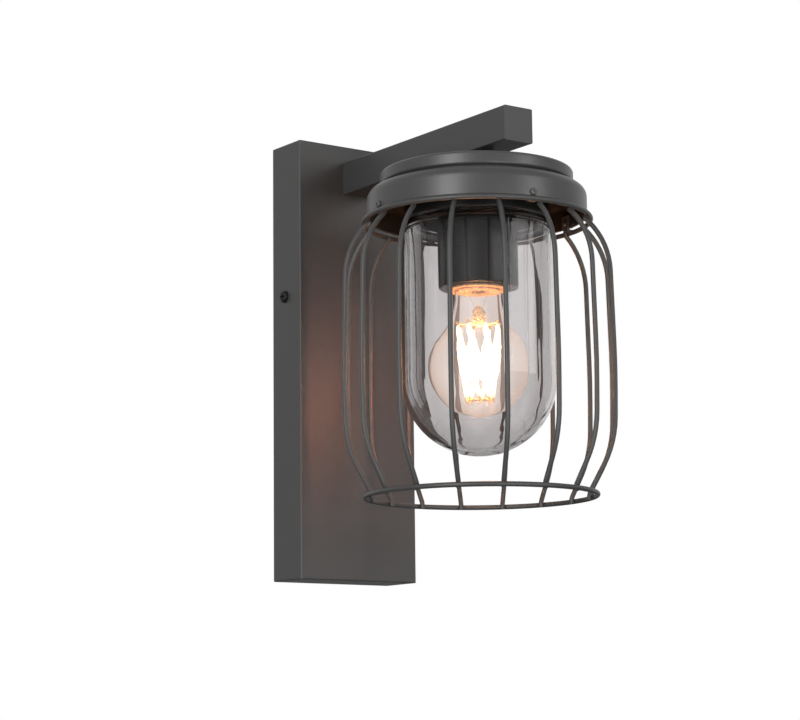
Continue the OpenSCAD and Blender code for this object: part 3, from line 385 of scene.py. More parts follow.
def filleted(points):
    """A closed outline of (radius, height, fillet) corners as (radius, height) points."""
    line = []
    for i, (x, z, r) in enumerate(points):
        after = points[(i + 1) % len(points)]
        line += corner_arc(points[i - 1], (x, z), after, r, OUTLINE_STEPS) if r > 0 else [(x, z)]
    return line


def round_axis(radius, height, turn):
    """The place at a radius and a height after a share of a turn about the lamp's axis."""
    return (radius * MM * math.cos(math.tau * turn),
            radius * MM * math.sin(math.tau * turn) + LAMP.y, height * MM)


def turned_piece(name, outline, material, body, replaced, steps=160, crease=32, closed=True):
    """A solid of revolution about the lamp's axis, from an outline of (radius, height) points."""
    points, faces, rings = [], [], []
    for r, z in outline:
        if r < 1e-6:
            rings.append([len(points)] * steps)
            points.append(round_axis(0, z, 0))
        else:
            rings.append(list(range(len(points), len(points) + steps)))
            points += [round_axis(r, z, k / steps) for k in range(steps)]
    for low, high in zip(rings, rings[1:] + ([rings[0]] if closed else [])):
        for k in range(steps):
            n = (k + 1) % steps
            corners = [low[k], low[n], high[n], high[k]]
            face = [c for i, c in enumerate(corners) if c not in corners[:i]]
            if len(face) > 2:
                faces.append(face)
    return dressed(name, mesh_of(name, points, faces), material, body, replaced, crease)


def dressed(name, mesh, material, body, replaced, crease=32):
    """Makes a finished mesh a piece of the light, smooth but for creases over that angle."""
    if sum_of_tetrahedra(mesh) < 0:
        mesh.flip_normals()
    mesh.materials.clear()
    mesh.materials.append(material)
    mesh.polygons.foreach_set("use_smooth", [True] * len(mesh.polygons))
    mesh.set_sharp_from_angle(angle=math.radians(crease))
    mesh.update()
    piece = bpy.data.objects.new(name, mesh)
    scene.collection.objects.link(piece)
    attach(piece, body)
    if replaced:
        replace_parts(piece, *replaced)
    return piece


def sum_of_tetrahedra(mesh):
    """Six times the mesh's volume about its first point, below zero where it is inside out."""
    origin = mesh.vertices[0].co
    total = 0.0
    mesh.calc_loop_triangles()
    for t in mesh.loop_triangles:
        a, b, c = (mesh.vertices[i].co - origin for i in t.vertices)
        total += a.dot(b.cross(c))
    return total


TUBE_HOLE_R, SHEET = 5.8, 2.0
CAP_TOP, DISC_LOW, SKIRT_TOP, SKIRT_LOW = 97.2, 89.7, 87.3, 69.5
CAP_R, DISC_R, GROOVE_R = 66.1, 58.2, 56.0
cap = turned_piece("cap", filleted([
    (TUBE_HOLE_R, CAP_TOP, 0), (DISC_R, CAP_TOP, 1.8), (DISC_R, DISC_LOW, 1.6),
    (GROOVE_R, DISC_LOW - 1.1, 0.9), (GROOVE_R + 0.5, SKIRT_TOP, 0.9), (CAP_R, SKIRT_TOP, 6.6),
    (CAP_R, SKIRT_LOW, 0.5), (CAP_R - SHEET, SKIRT_LOW, 0.5),
    (CAP_R - SHEET, SKIRT_TOP - SHEET, 4.8), (GROOVE_R - SHEET, SKIRT_TOP - SHEET, 0.6),
    (GROOVE_R - SHEET, CAP_TOP - SHEET, 1.2), (TUBE_HOLE_R, CAP_TOP - SHEET, 0)]),
    powder_coat("anthracite_cap_coat", COAT, 0.38, size=0.0009, bump=0.5, mirror=0.3),
    "body", ["cap_shell"], steps=256)
# Painted shade: the faces inside the skirt and the disc get a near-black material, darker than the
# coat, for the shade inside the cap.
cap.data.materials.append(mottled("cap_inside_painted_shade", (0.005, 0.005, 0.005), (0.008, 0.008, 0.008),
                                  (0.6, 0.75), 0.002, bump=0.15, mirror=0.15))
for face in cap.data.polygons:
    from_axis = math.hypot(face.center.x, face.center.y - LAMP.y) / MM
    level = face.center.z / MM
    in_skirt = from_axis < CAP_R - SHEET + 0.2 and level < SKIRT_TOP - SHEET + 0.05
    in_disc = from_axis < GROOVE_R - SHEET + 0.3 and level < CAP_TOP - SHEET + 0.1
    if in_skirt or in_disc:
        face.material_index = 1

# The glass holder: a black ring with a plate across its top, hung under the cap on the threaded
# tube. The glass screws up into it against a silicone gasket.
HOLDER_R, HOLDER_BORE_R, HOLDER_TOP, HOLDER_LOW = 43.3, 40.7, 83.0, 67.8
holder_black = mottled("holder_black", (0.005, 0.005, 0.005), (0.009, 0.009, 0.009), (0.25, 0.35),
                       0.003, bump=0.02, mirror=0.15)
turned_piece("glass_holder_ring", filleted([
    (TUBE_HOLE_R, HOLDER_TOP, 0), (HOLDER_R, HOLDER_TOP, 1.2), (HOLDER_R, HOLDER_LOW, 0.8),
    (HOLDER_BORE_R, HOLDER_LOW, 0.8), (HOLDER_BORE_R, HOLDER_TOP - SHEET, 0),
    (TUBE_HOLE_R, HOLDER_TOP - SHEET, 0)]), holder_black, "body", ["glass_holder"])
finish_node("glass_gasket", mottled("silicone", (0.5, 0.5, 0.48), (0.62, 0.62, 0.6), (0.35, 0.5),
                                    0.003))

# The lampholder: a black sleeve round a white glazed porcelain body with a black dome on top, a
# brass screw shell, a centre contact and two terminals.
SLEEVE_TOP = HOLDER_TOP - SHEET
SLEEVE_R, SLEEVE_LOW, SLEEVE_WALL, SLEEVE_LIP, MOUTH_R = 24.0, 26.6, 1.2, 1.4, 16.2
sleeve_black = mottled("sleeve_black", (0.005, 0.005, 0.005), (0.006, 0.006, 0.006), (0.22, 0.24),
                       0.004, bump=0.0, mirror=0.28)
turned_piece("lampholder_tube", filleted([
    (TUBE_HOLE_R, SLEEVE_TOP, 0), (SLEEVE_R, SLEEVE_TOP, 1.2), (SLEEVE_R, SLEEVE_LOW, 1.1),
    (MOUTH_R, SLEEVE_LOW, 0.6), (MOUTH_R, SLEEVE_LOW + SLEEVE_LIP, 0),
    (SLEEVE_R - SLEEVE_WALL, SLEEVE_LOW + SLEEVE_LIP, 0.4),
    (SLEEVE_R - SLEEVE_WALL, SLEEVE_TOP - SLEEVE_WALL, 0.6),
    (TUBE_HOLE_R, SLEEVE_TOP - SLEEVE_WALL, 0)]),
    sleeve_black, "body", ["lampholder_sleeve"])

SHELL_BACK_R, SHELL_R, SHELL_TOP, SHELL_LOW, SHELL_WAVE = 14.35, 13.65, 51.6, 30.5, 0.3
BODY_R, BODY_TOP, BODY_LOW, SEAT_R, CORE_R, CORE_TOP, RIVET_R = 20, 60, 28.3, 14.6, 13.4, 56, 1.7
THREAD_PITCH, SHELL_CREST = 3.62, 33
turned_piece("lampholder_porcelain", filleted([
    (SEAT_R, BODY_LOW, 1.0), (BODY_R, BODY_LOW, 1.0), (BODY_R, BODY_TOP, 0.8),
    (RIVET_R, BODY_TOP, 0), (RIVET_R, CORE_TOP, 0), (CORE_R, CORE_TOP, 0.8),
    (CORE_R, SHELL_TOP, 0), (SEAT_R, SHELL_TOP, 0)]),
    mottled("glazed_porcelain", (0.78, 0.75, 0.69), (0.86, 0.83, 0.78), (0.12, 0.24), 0.004,
            bump=0.15), "body", ["lampholder_body"])
shell_line = [(SHELL_BACK_R, SHELL_TOP), (SHELL_BACK_R, SHELL_LOW)]
for z in [SHELL_LOW + 0.5 + 0.3 * row for row in range(68)]:
    wave = math.cos(math.tau * (z - SHELL_CREST) / THREAD_PITCH)
    shell_line.append((SHELL_R + SHELL_WAVE * wave, z))
turned_piece("lampholder_screw_shell", shell_line, plain_brass, "body",
             ["lampholder_shell"], steps=96, crease=60)
for name in ("lampholder_contact", "lampholder_terminals"):
    finish_node(name, plain_brass)
finish_node("terminal_screws", zinc_screw)
finish_node("lampholder_dome", sleeve_black)


# The cage: sixteen bent steel wires welded between two wire rings and coated as the box is. Four
# tapped lugs reach from the upper ring into the cap's skirt, and a screw holds each.
WIRE, WIRE_SIDES, TOP_R, TOP_Z, LOW_R, LOW_Z = 3.0, 20, 68.05, 67.5, 68.4, -97.8


def wire_ring(name, radius, height):
    """A closed ring of the cage's wire about the lamp's axis."""
    outline = [(radius + WIRE / 2 * math.cos(math.tau * k / WIRE_SIDES),
                height + WIRE / 2 * math.sin(math.tau * k / WIRE_SIDES))
               for k in range(WIRE_SIDES)]
    return turned_piece(name, outline, anthracite, "body", None, steps=192)


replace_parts(wire_ring("cage_ring_upper", TOP_R, TOP_Z), "cage_top_ring")
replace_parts(wire_ring("cage_ring_lower", LOW_R, LOW_Z), "cage_low_ring")


def copies_tree(name, swept):
    """Geometry Nodes that set copies of the object's mesh round the lamp's axis. Where swept is
    true the mesh is a line, and becomes a round rod first."""
    tree = bpy.data.node_groups.new(name, "GeometryNodeTree")
    socket = tree.interface.new_socket
    socket("Geometry", in_out="INPUT", socket_type="NodeSocketGeometry")
    ids = {}
    for label, kind, value in (("Count", "NodeSocketInt", 16), ("First Turn", FLOAT, 0.0),
                               ("Rod Radius", FLOAT, 0.0015), ("Sides", "NodeSocketInt", 16),
                               ("Centre", VECTOR, tuple(LAMP)),
                               ("Material", "NodeSocketMaterial", None)):
        made = socket(label, in_out="INPUT", socket_type=kind)
        if value is not None:
            made.default_value = value
        ids[label] = made.identifier
    socket("Geometry", in_out="OUTPUT", socket_type="NodeSocketGeometry")
    kit = {kind: tree.nodes.new(kind) for kind in (
        "NodeGroupInput", "NodeGroupOutput", "GeometryNodePoints", "GeometryNodeInstanceOnPoints",
        "GeometryNodeInputIndex", "ShaderNodeCombineXYZ", "FunctionNodeEulerToRotation",
        "GeometryNodeRealizeInstances", "GeometryNodeSetMaterial", "GeometryNodeMeshToCurve",
        "GeometryNodeCurveToMesh", "GeometryNodeCurvePrimitiveCircle")}
    start, copies = kit["NodeGroupInput"], kit["GeometryNodeInstanceOnPoints"]
    places, whole = kit["GeometryNodePoints"], kit["GeometryNodeRealizeInstances"]
    painted, angles = kit["GeometryNodeSetMaterial"], kit["ShaderNodeCombineXYZ"]
    line, rod = kit["GeometryNodeMeshToCurve"], kit["GeometryNodeCurveToMesh"]
    round_face = kit["GeometryNodeCurvePrimitiveCircle"]
    rod.inputs["Fill Caps"].default_value = True
    step = add_node(tree, "ShaderNodeMath", {0: math.tau}, "DIVIDE")
    turn = add_node(tree, "ShaderNodeMath", operation="MULTIPLY_ADD")
    link_all(tree, (
        (start.outputs["Count"], step.inputs[1]),
        (kit["GeometryNodeInputIndex"].outputs[0], turn.inputs[0]),
        (step.outputs[0], turn.inputs[1]),
        (start.outputs["First Turn"], turn.inputs[2]),
        (turn.outputs[0], angles.inputs["Z"]),
        (angles.outputs[0], kit["FunctionNodeEulerToRotation"].inputs[0]),
        (start.outputs["Count"], places.inputs["Count"]),
        (start.outputs["Centre"], places.inputs["Position"]),
        (places.outputs[0], copies.inputs["Points"]),
        (kit["FunctionNodeEulerToRotation"].outputs[0], copies.inputs["Rotation"]),
        (copies.outputs[0], whole.inputs[0]),
        (whole.outputs[0], painted.inputs["Geometry"]),
        (start.outputs["Material"], painted.inputs["Material"]),
        (painted.outputs[0], kit["NodeGroupOutput"].inputs[0])))
    if swept:
        link_all(tree, (
            (start.outputs["Geometry"], line.inputs["Mesh"]),
            (start.outputs["Rod Radius"], round_face.inputs["Radius"]),
            (start.outputs["Sides"], round_face.inputs["Resolution"]),
            (line.outputs[0], rod.inputs["Curve"]),
            (round_face.outputs[0], rod.inputs["Profile Curve"]),
            (rod.outputs[0], copies.inputs["Instance"])))
    else:
        link_all(tree, ((start.outputs["Geometry"], copies.inputs["Instance"]),))
    return tree, ids


rods_round_axis = copies_tree("rods_round_axis", True)
copies_round_axis = copies_tree("copies_round_axis", False)


def spread_round(name, mesh, tree_and_ids, values, material, body, replaced, crease=40):
    """Runs the copying tree on a mesh made about the lamp's axis, and keeps the plain result."""
    tree, ids = tree_and_ids
    holder = bpy.data.objects.new(name + "_pattern", mesh)
    scene.collection.objects.link(holder)
    spread = holder.modifiers.new("copies", "NODES")
    spread.node_group = tree
    spread[ids["Material"]] = material
    for label, value in values.items():
        spread[ids[label]] = value
    bpy.context.view_layer.update()
    graph = bpy.context.evaluated_depsgraph_get()
    result = bpy.data.meshes.new_from_object(holder.evaluated_get(graph))
    holder.modifiers.remove(spread)
    bpy.data.objects.remove(holder)
    result.name = name
    return dressed(name, result, material, body, replaced, crease)


def line_mesh(name, points):
    """An open line through the points."""
    return mesh_of(name, points, [], [(i, i + 1) for i in range(len(points) - 1)])


# The bent wires are a hair slimmer than the rings' wire and set in a little, which keeps them
# within the CAD's own box.
LEAN, WELD, WIRE_TOP = math.radians(46.3), WIRE + 0.03, 1.2
ROD_R, ROD_INSET = 0.485 * WIRE, 0.11
weld_r, weld_z = TOP_R - WELD * math.cos(LEAN), TOP_Z - WELD * math.sin(LEAN)
wire_corners = [
    (weld_r - WIRE_TOP * math.sin(LEAN), weld_z + WIRE_TOP * math.cos(LEAN), 0),
    (79.52, 52.36, 46), (81.3, -24.5, 600), (80.29, -68.8, 62), (LOW_R - WELD, LOW_Z + 1.6, 7),
    (LOW_R - WELD, LOW_Z - WIRE / 2, 0)]
wire_path = [wire_corners[0][:2]]
for before, (x, z, bend), after in zip(wire_corners, wire_corners[1:], wire_corners[2:]):
    wire_path += corner_arc(before, (x, z), after, bend, BEND_STEPS)
wire_path.append(wire_corners[-1][:2])
FIRST_WIRE = {"Count": 16, "First Turn": math.radians(-4.07)}
spread_round("cage_upright_wires",
             line_mesh("wire_line", [((x - ROD_INSET) * MM, 0, z * MM) for x, z in wire_path]),
             rods_round_axis, {"Rod Radius": ROD_R * MM, "Sides": WIRE_SIDES, **FIRST_WIRE},
             anthracite, "body", ["cage_wires"])


def turn_faces(rows, steps, first=0, closed=False):
    """The faces between neighbouring rows of points, of which each row is one full turn."""
    faces = []
    for row in range(rows if closed else rows - 1):
        low, high = first + row * steps, first + (row + 1) % rows * steps
        for k in range(steps):
            n = (k + 1) % steps
            faces.append((low + k, low + n, high + n, high + k))
    return faces


def ended_faces(rows, steps, first=0):
    """The faces of a closed form of one end point, rows of points round it, and one end point."""
    last = first + rows * steps + 1
    faces = turn_faces(rows, steps, first + 1)
    for k in range(steps):
        n = (k + 1) % steps
        faces.append((first, first + 1 + n, first + 1 + k))
        faces.append((last, last - steps + k, last - steps + n))
    return faces


def ball_mesh(name, places, rings=8, steps=12):
    """Small flattened balls, each given by its place and its three half sizes, in millimetres."""
    points, faces = [], []
    for (x, y, z), (a, b, c) in places:
        faces += ended_faces(rings - 1, steps, len(points))
        points.append((x * MM, y * MM, (z - c) * MM))
        for i in range(1, rings):
            t = math.pi * i / rings
            for k in range(steps):
                u = math.tau * k / steps
                points.append(((x + a * math.sin(t) * math.cos(u)) * MM,
                               (y + b * math.sin(t) * math.sin(u)) * MM,
                               (z - c * math.cos(t)) * MM))
        points.append((x * MM, y * MM, (z + c) * MM))
    return mesh_of(name, points, faces)


weld_places = [((LOW_R - WELD / 2 - 0.2, 0, LOW_Z + 0.3), (1.5, 1.1, 1.25)),
               (((weld_r + TOP_R) / 2, 0, (weld_z + TOP_Z) / 2), (1.1, 1.2, 1.1))]
spread_round("cage_weld_beads", ball_mesh("weld_pair", weld_places), copies_round_axis,
             FIRST_WIRE, anthracite, "body", None)
finish_node("cage_lugs", anthracite)
finish_node("cage_screws", powder_coat("cage_screw_coat", (0.043, 0.043, 0.043), 0.4,
                                       size=0.0005))


# The glass: one blown and moulded jar of clear glass with a round bottom and a thick wall. Two low
# rings on its neck stand for the thread that screws into the holder.
def clear_glass(name, tint, painted_streak, ior, waves, depth, rim=(1.0, 1.0, 1.0), painted_rim_blend=0.5,
                mirror=1.0, soaking=0.0, skin=0.0):
    """Clear glass with faint streaks whose darker tone is painted reflection, a painted tint at its
    rim where it turns edge-on, and darker the thicker it is.
    """
    material, tree, surface = finish_of(name, tint, 0.0)
    surface.inputs["Specular Tint"].default_value = (mirror, mirror, mirror, 1)
    surface.inputs["Coat Weight"].default_value = skin
    surface.inputs["Coat Roughness"].default_value = 0.0
    surface.inputs["Transmission Weight"].default_value = 1.0
    surface.inputs["IOR"].default_value = ior
    out = tree.nodes["Material Output"]
    place = add_node(tree, "ShaderNodeTexCoord")
    drawn = add_node(tree, "ShaderNodeMapping", {"Scale": waves})
    swirl = add_node(tree, "ShaderNodeTexNoise", {"Scale": 1.0, "Detail": 1.5})
    dent = add_node(tree, "ShaderNodeBump", {"Strength": 0.6, "Distance": depth})
    # The streak colour is painted reflection: darker streaks of the surround, painted into the
    # glass's colour.
    painted_streak_tone = add_node(tree, "ShaderNodeMix", {"A": (*painted_streak, 1), "B": (*tint, 1)}, data_type="RGBA")
    # The rim colour is painted light. It is multiplied in where the glass turns edge-on and paints
    # the shade or warm glow that the caller gives for the glass's edge.
    edge_on = add_node(tree, "ShaderNodeLayerWeight", {"Blend": painted_rim_blend})
    painted_rim_tone = add_node(tree, "ShaderNodeMix", {"B": (*rim, 1)}, data_type="RGBA")
    painted_rim_tone.blend_type = "MULTIPLY"
    path = add_node(tree, "ShaderNodeLightPath")
    clear = add_node(tree, "ShaderNodeBsdfTransparent", {"Color": (0.93, 0.93, 0.93, 1)})
    blend = add_node(tree, "ShaderNodeMixShader")
    link_all(tree, (
        (place.outputs["Object"], drawn.inputs["Vector"]),
        (drawn.outputs["Vector"], swirl.inputs["Vector"]),
        (swirl.outputs["Fac"], dent.inputs["Height"]),
        (dent.outputs["Normal"], surface.inputs["Normal"]),
        (swirl.outputs["Fac"], painted_streak_tone.inputs["Factor"]),
        (edge_on.outputs["Facing"], painted_rim_tone.inputs["Factor"]),
        (painted_streak_tone.outputs["Result"], painted_rim_tone.inputs["A"]),
        (painted_rim_tone.outputs["Result"], surface.inputs["Base Color"]),
        (path.outputs["Is Shadow Ray"], blend.inputs["Fac"]),
        (surface.outputs["BSDF"], blend.inputs[1]),
        (clear.outputs["BSDF"], blend.inputs[2]),
        (blend.outputs["Shader"], out.inputs["Surface"])))
    if soaking:
        soak = add_node(tree, "ShaderNodeVolumeAbsorption",
                        {"Color": (0.3, 0.3, 0.3, 1), "Density": soaking})
        tree.links.new(soak.outputs["Volume"], out.inputs["Volume"])
    return material


def arc(cx, cz, r, start, stop, steps):
    """Points along an arc between two angles in degrees."""
    angles = [math.radians(start + (stop - start) * k / steps) for k in range(steps + 1)]
    return [(cx + r * math.cos(a), cz + r * math.sin(a)) for a in angles]


JAR_R, JAR_WALL, BOWL_Z, SHOULDER_Z, SHOULDER_ROUND = 46.2, 3.0, -27.8, 67.0, 5.0
NECK_R, JAR_TOP, LIP, CREST_STANDS, CREST_FOOT, CREST_FLAT = 40.0, 79.0, 0.8, 0.35, 1.2, 0.4
jar_in_r, neck_in_r, shoulder_in = JAR_R - JAR_WALL, NECK_R - JAR_WALL, SHOULDER_Z - JAR_WALL
inner_round = SHOULDER_ROUND - 2.4
outer = [(0, BOWL_Z - JAR_R)] + arc(0, BOWL_Z, JAR_R, -89, 0, 40)
outer += [(JAR_R, z) for z in range(-20, 61, 8)]
outer += arc(JAR_R - SHOULDER_ROUND, SHOULDER_Z - SHOULDER_ROUND, SHOULDER_ROUND, 0, 90, 10)
outer += [(NECK_R + 0.5, SHOULDER_Z + 0.05), (NECK_R, SHOULDER_Z + 0.6)]
for crest in (70.6, 74.6):
    outer += [(NECK_R, crest - CREST_FOOT), (NECK_R + CREST_STANDS, crest - CREST_FLAT),
              (NECK_R + CREST_STANDS, crest + CREST_FLAT), (NECK_R, crest + CREST_FOOT)]
outer += [(NECK_R, JAR_TOP - LIP), (NECK_R - LIP, JAR_TOP)]
inner = [(neck_in_r + LIP, JAR_TOP), (neck_in_r, JAR_TOP - LIP), (neck_in_r, shoulder_in + 1.5),
         (jar_in_r - 3.4, shoulder_in)]
inner += arc(jar_in_r - inner_round, shoulder_in - inner_round, inner_round, 80, 0, 8)
inner += [(jar_in_r, z) for z in range(56, -25, -8)]
inner += arc(0, BOWL_Z, jar_in_r, 0, -89, 40) + [(0, BOWL_Z - jar_in_r)]
# The jar's darker streak colour is painted reflection, and its grey rim colour is painted shade at
# its edges.
glass_jar = turned_piece("glass_jar", outer + inner, clear_glass(
    "clear_jar_glass", (0.91, 0.895, 0.895), (0.64, 0.62, 0.62), 1.45, (70, 70, 9), 0.0006,
    rim=(0.62, 0.60, 0.60), painted_rim_blend=0.5, mirror=0.33, soaking=20.0),
    "glass", ["glass_shade"], steps=192, crease=50, closed=False)

# The bulb: a pear-shaped filament bulb on a rolled aluminium screw cap, with a black insulator and
# a contact tip. Its thin globe has a faint painted glow and a painted warm tint at its outline, for
# the sticks' light.
bulb_clear = clear_glass("thin_bulb_glass", (1.0, 0.985, 0.97), (0.99, 0.965, 0.945), 1.05,
                         (40, 40, 40), 0.0001, rim=(0.86, 0.62, 0.42), painted_rim_blend=0.16,
                         skin=0.1)
# Painted glow: the globe glass gives a faint warm light of its own, though it is no lamp.
bulb_painted_glow_surface = bulb_clear.node_tree.nodes["Principled BSDF"]
bulb_painted_glow_surface.inputs["Emission Color"].default_value = (1.0, 0.82, 0.77, 1)
bulb_painted_glow_surface.inputs["Emission Strength"].default_value = 0.075
GLOBE_R, GLOBE_Z, BULB_NECK_R, SWEEP, BULB_WALL = 30.0, -20.8, 13.7, 35.2, 0.45
CAP_LOW, CAP_HIGH, CAP_TUBE_R, NECK_LIP, TAIL = 27.6, 50.4, 12.2, 0.6, 11
neck_end, tail_r = CAP_LOW - 0.3, CAP_TUBE_R - 0.8
sweep_x = BULB_NECK_R + SWEEP
sweep_z = GLOBE_Z + math.sqrt((GLOBE_R + SWEEP) ** 2 - sweep_x ** 2)
meet = math.degrees(math.atan2(sweep_z - GLOBE_Z, sweep_x))
bulb_out = [(0, GLOBE_Z - GLOBE_R)] + arc(0, GLOBE_Z, GLOBE_R, -88, meet, 44)
bulb_out += arc(sweep_x, sweep_z, SWEEP, 180 + meet, 180, 18)[1:]
bulb_out += [(BULB_NECK_R, neck_end - NECK_LIP), (BULB_NECK_R - NECK_LIP, neck_end),
             (tail_r, neck_end), (tail_r, neck_end + TAIL)]
bulb_in = [(tail_r - BULB_WALL, neck_end + TAIL), (tail_r - BULB_WALL, neck_end - BULB_WALL),
           (BULB_NECK_R - BULB_WALL, neck_end - BULB_WALL - NECK_LIP)]
bulb_in += arc(sweep_x, sweep_z, SWEEP + BULB_WALL, 180, 180 + meet, 18)
bulb_in += arc(0, GLOBE_Z, GLOBE_R - BULB_WALL, meet, -88, 44)[1:]
bulb_in += [(0, GLOBE_Z - GLOBE_R + BULB_WALL)]
bulb_globe = turned_piece("bulb_globe", bulb_out + bulb_in, bulb_clear, "bulb",
                          ["bulb_glass"], steps=144, crease=50, closed=False)

# The screw cap's thread is a real helix, which fades out above its plain rim and below its top.
RIM_R, RIM_H, CAP_BORE_R, CAP_STEPS, CAP_ROWS = 13.0, 3, 11.6, 72, 111
THREAD_MIDDLE, THREAD_WAVE = 0.42, 0.4


def unit(value):
    """The value, held between 0 and 1."""
    return max(0.0, min(1.0, value))


cap_points = []
for row in range(CAP_ROWS):
    z = CAP_LOW + (CAP_HIGH - CAP_LOW) * row / (CAP_ROWS - 1)
    depth = unit((z - CAP_LOW - RIM_H) / 1.5) * unit((CAP_HIGH - z) / 2)
    plain_r = RIM_R if z < CAP_LOW + RIM_H else CAP_TUBE_R
    for k in range(CAP_STEPS):
        wave = math.cos(math.tau * ((z - CAP_LOW) / THREAD_PITCH - k / CAP_STEPS))
        r = CAP_TUBE_R + THREAD_MIDDLE + THREAD_WAVE * wave * depth if depth > 0 else plain_r
        cap_points.append(round_axis(r, z, k / CAP_STEPS))
for z in (CAP_HIGH, CAP_LOW):
    cap_points += [round_axis(CAP_BORE_R, z, k / CAP_STEPS) for k in range(CAP_STEPS)]
cap_mesh = mesh_of("bulb_screw_cap", cap_points, turn_faces(CAP_ROWS + 2, CAP_STEPS, closed=True))
rolled_aluminium = mottled("rolled_aluminium", (0.62, 0.62, 0.6), (0.8, 0.8, 0.78), (0.16, 0.3),
                           0.003, metallic=1.0)
dressed("bulb_screw_cap", cap_mesh, rolled_aluminium, "bulb", ["bulb_cap"],
        crease=50)
finish_node("bulb_tip", rolled_aluminium)
finish_node("bulb_insulator", mottled("insulator_glass", (0.01, 0.01, 0.012), (0.02, 0.02, 0.024),
                                      (0.15, 0.25), 0.003))

# The stem: a glass rod down the middle of the bulb, which flares out to the neck, with the support
# wires that carry the lit sticks.
stem_glass = clear_glass("stem_glass", (1.0, 0.985, 0.97), (1.0, 0.97, 0.94), 1.02, (90, 90, 90),
                         0.0001, skin=0.05)
turned_piece("bulb_glass_stem", [
    (0, -41.3), (1.2, -41.3), (1.7, -40.8), (1.7, 12.4), (2.6, 13.4), (3.6, 16.5), (5.2, 21),
    (7.2, 26.5), (10.5, 35.3), (9.9, 35.3), (6.7, 26.5), (4.7, 21), (3.1, 16.5), (1.6, 14.2),
    (0, 13.9)], stem_glass, "bulb", ["bulb_stem"], steps=48, crease=50,
    closed=False)
finish_node("bulb_supports", mottled("support_wire", (0.6, 0.42, 0.2), (0.8, 0.6, 0.34),
                                     (0.2, 0.35), 0.001, metallic=1.0))


# The neck of the bulb is closed by a crinkled ring of pale cement round the stem's flare, and a
# second one lines the mouth of the sleeve round the bulb. Lit from below, they shine like gold.
def crumpled(place, seed):
    """A value from about -1 to 1 that changes over the place as crumpled foil does."""
    folds = noise.noise(place * 900 + Vector((seed, 0, 0)))
    wrinkles = noise.noise(place * 2100 + Vector((0, seed, 0)))
    return 0.65 * folds + 0.5 * wrinkles


cement = mottled("crinkled_cement", (0.02, 0.009, 0.004), (0.40, 0.30, 0.21), (0.3, 0.55), 0.0015,
                 bump=1.0, depth=0.001)
SEAL_STEPS, SEAL_CRINKLE = 160, 0.45


def crinkled_ring(name, inner, outer, low, high, body, seed):
    """A flat ring about the lamp's axis, with a crinkled lower face."""
    rings = max(4, round(outer - inner) * 2)
    line = [(inner + (outer - inner) * k / rings, low) for k in range(rings + 1)]
    line += [(outer, high), (inner, high)]
    points = []
    for r, z in line:
        for k in range(SEAL_STEPS):
            place = Vector(round_axis(r, z, k / SEAL_STEPS))
            if z == low:
                place.z += SEAL_CRINKLE * (high - low) * MM * (crumpled(place, seed) - 1)
            points.append(place)
    mesh = mesh_of(name, points, turn_faces(len(line), SEAL_STEPS, closed=True))
    return dressed(name, mesh, cement, body, None, crease=180)


crinkled_ring("bulb_neck_seal", 1.2, 12.9, 25.0, 26.6, "bulb", seed=3)
crinkled_ring("sleeve_mouth_ring", 14.2, 18.4, 25.7, 26.8, "body", seed=7)

# The stem ends in a crinkled pinch, where the support wires are sealed in. Its bright golden colour
# is painted glow, for the sticks' light caught in its clear glass.
PINCH_Z, PINCH_R, PINCH_HALF, PINCH_CRINKLE, PINCH_SHIFT = 9.6, 3.6, 6.4, 0.5, 0.9
pinch_place = ((0, LAMP.y / MM, PINCH_Z), (PINCH_R, PINCH_R, PINCH_HALF))
pinch_mesh = ball_mesh("bulb_stem_pinch", [pinch_place], rings=44, steps=48)
for vertex in pinch_mesh.vertices:
    out_of_axis = Vector((vertex.co.x, vertex.co.y - LAMP.y, 0))
    vertex.co += out_of_axis * PINCH_CRINKLE * crumpled(vertex.co * 1.1, 11)
    vertex.co.z += PINCH_SHIFT * MM * crumpled(vertex.co * 0.9, 17)
# Painted glow: the pinch's golden mottle stands for the light that the clear glass catches.
pinch_painted_glow = mottled("pinch_painted_glow", (0.10, 0.06, 0.03), (0.95, 0.80, 0.55), (0.15, 0.3), 0.0011,
                      bump=1.0, depth=0.0008)
dressed("bulb_stem_pinch", pinch_mesh, pinch_painted_glow, "bulb", None, crease=30)

# The lit sticks: eight slim rods under a thick yellow phosphor coat, which lean round the stem in a
# ring, with a gilt metal strip at each end that is welded to its support wire.
STICK_TOP, STICK_LOW, STICK_TWIST = (13.0, GLOBE_Z + 25.5), (8.0, GLOBE_Z - 19.5), 75
STICK_R, STICK_BOW, STICK_CRUMPLE, STICK_FADE, STRIP_HALF, STRIP_R = 2.1, 2.0, 0.3, 13, 1.5, 0.75
lit, lit_tree, lit_surface = finish_of("lit_filament", (1.0, 0.75, 0.4), 0.5)
lit_surface.inputs["Emission Strength"].default_value = 7.0
facing = add_node(lit_tree, "ShaderNodeLayerWeight", {"Blend": 0.4})
warmth = add_node(lit_tree, "ShaderNodeValToRGB")
warm_middle, warm_edge = warmth.color_ramp.elements
warm_middle.position, warm_middle.color = 0.3, (1.0, 0.80, 0.52, 1)
warm_edge.position, warm_edge.color = 0.8, (0.2, 0.08, 0.02, 1)
stick_place = add_node(lit_tree, "ShaderNodeTexCoord")
stick_height = add_node(lit_tree, "ShaderNodeSeparateXYZ")
stick_end = add_node(lit_tree, "ShaderNodeMapRange", {
    "From Min": STICK_LOW[1] * MM, "From Max": (STICK_LOW[1] + STICK_FADE) * MM})
end_colour = add_node(lit_tree, "ShaderNodeMix", {"A": (0.17, 0.085, 0.03, 1)}, data_type="RGBA")
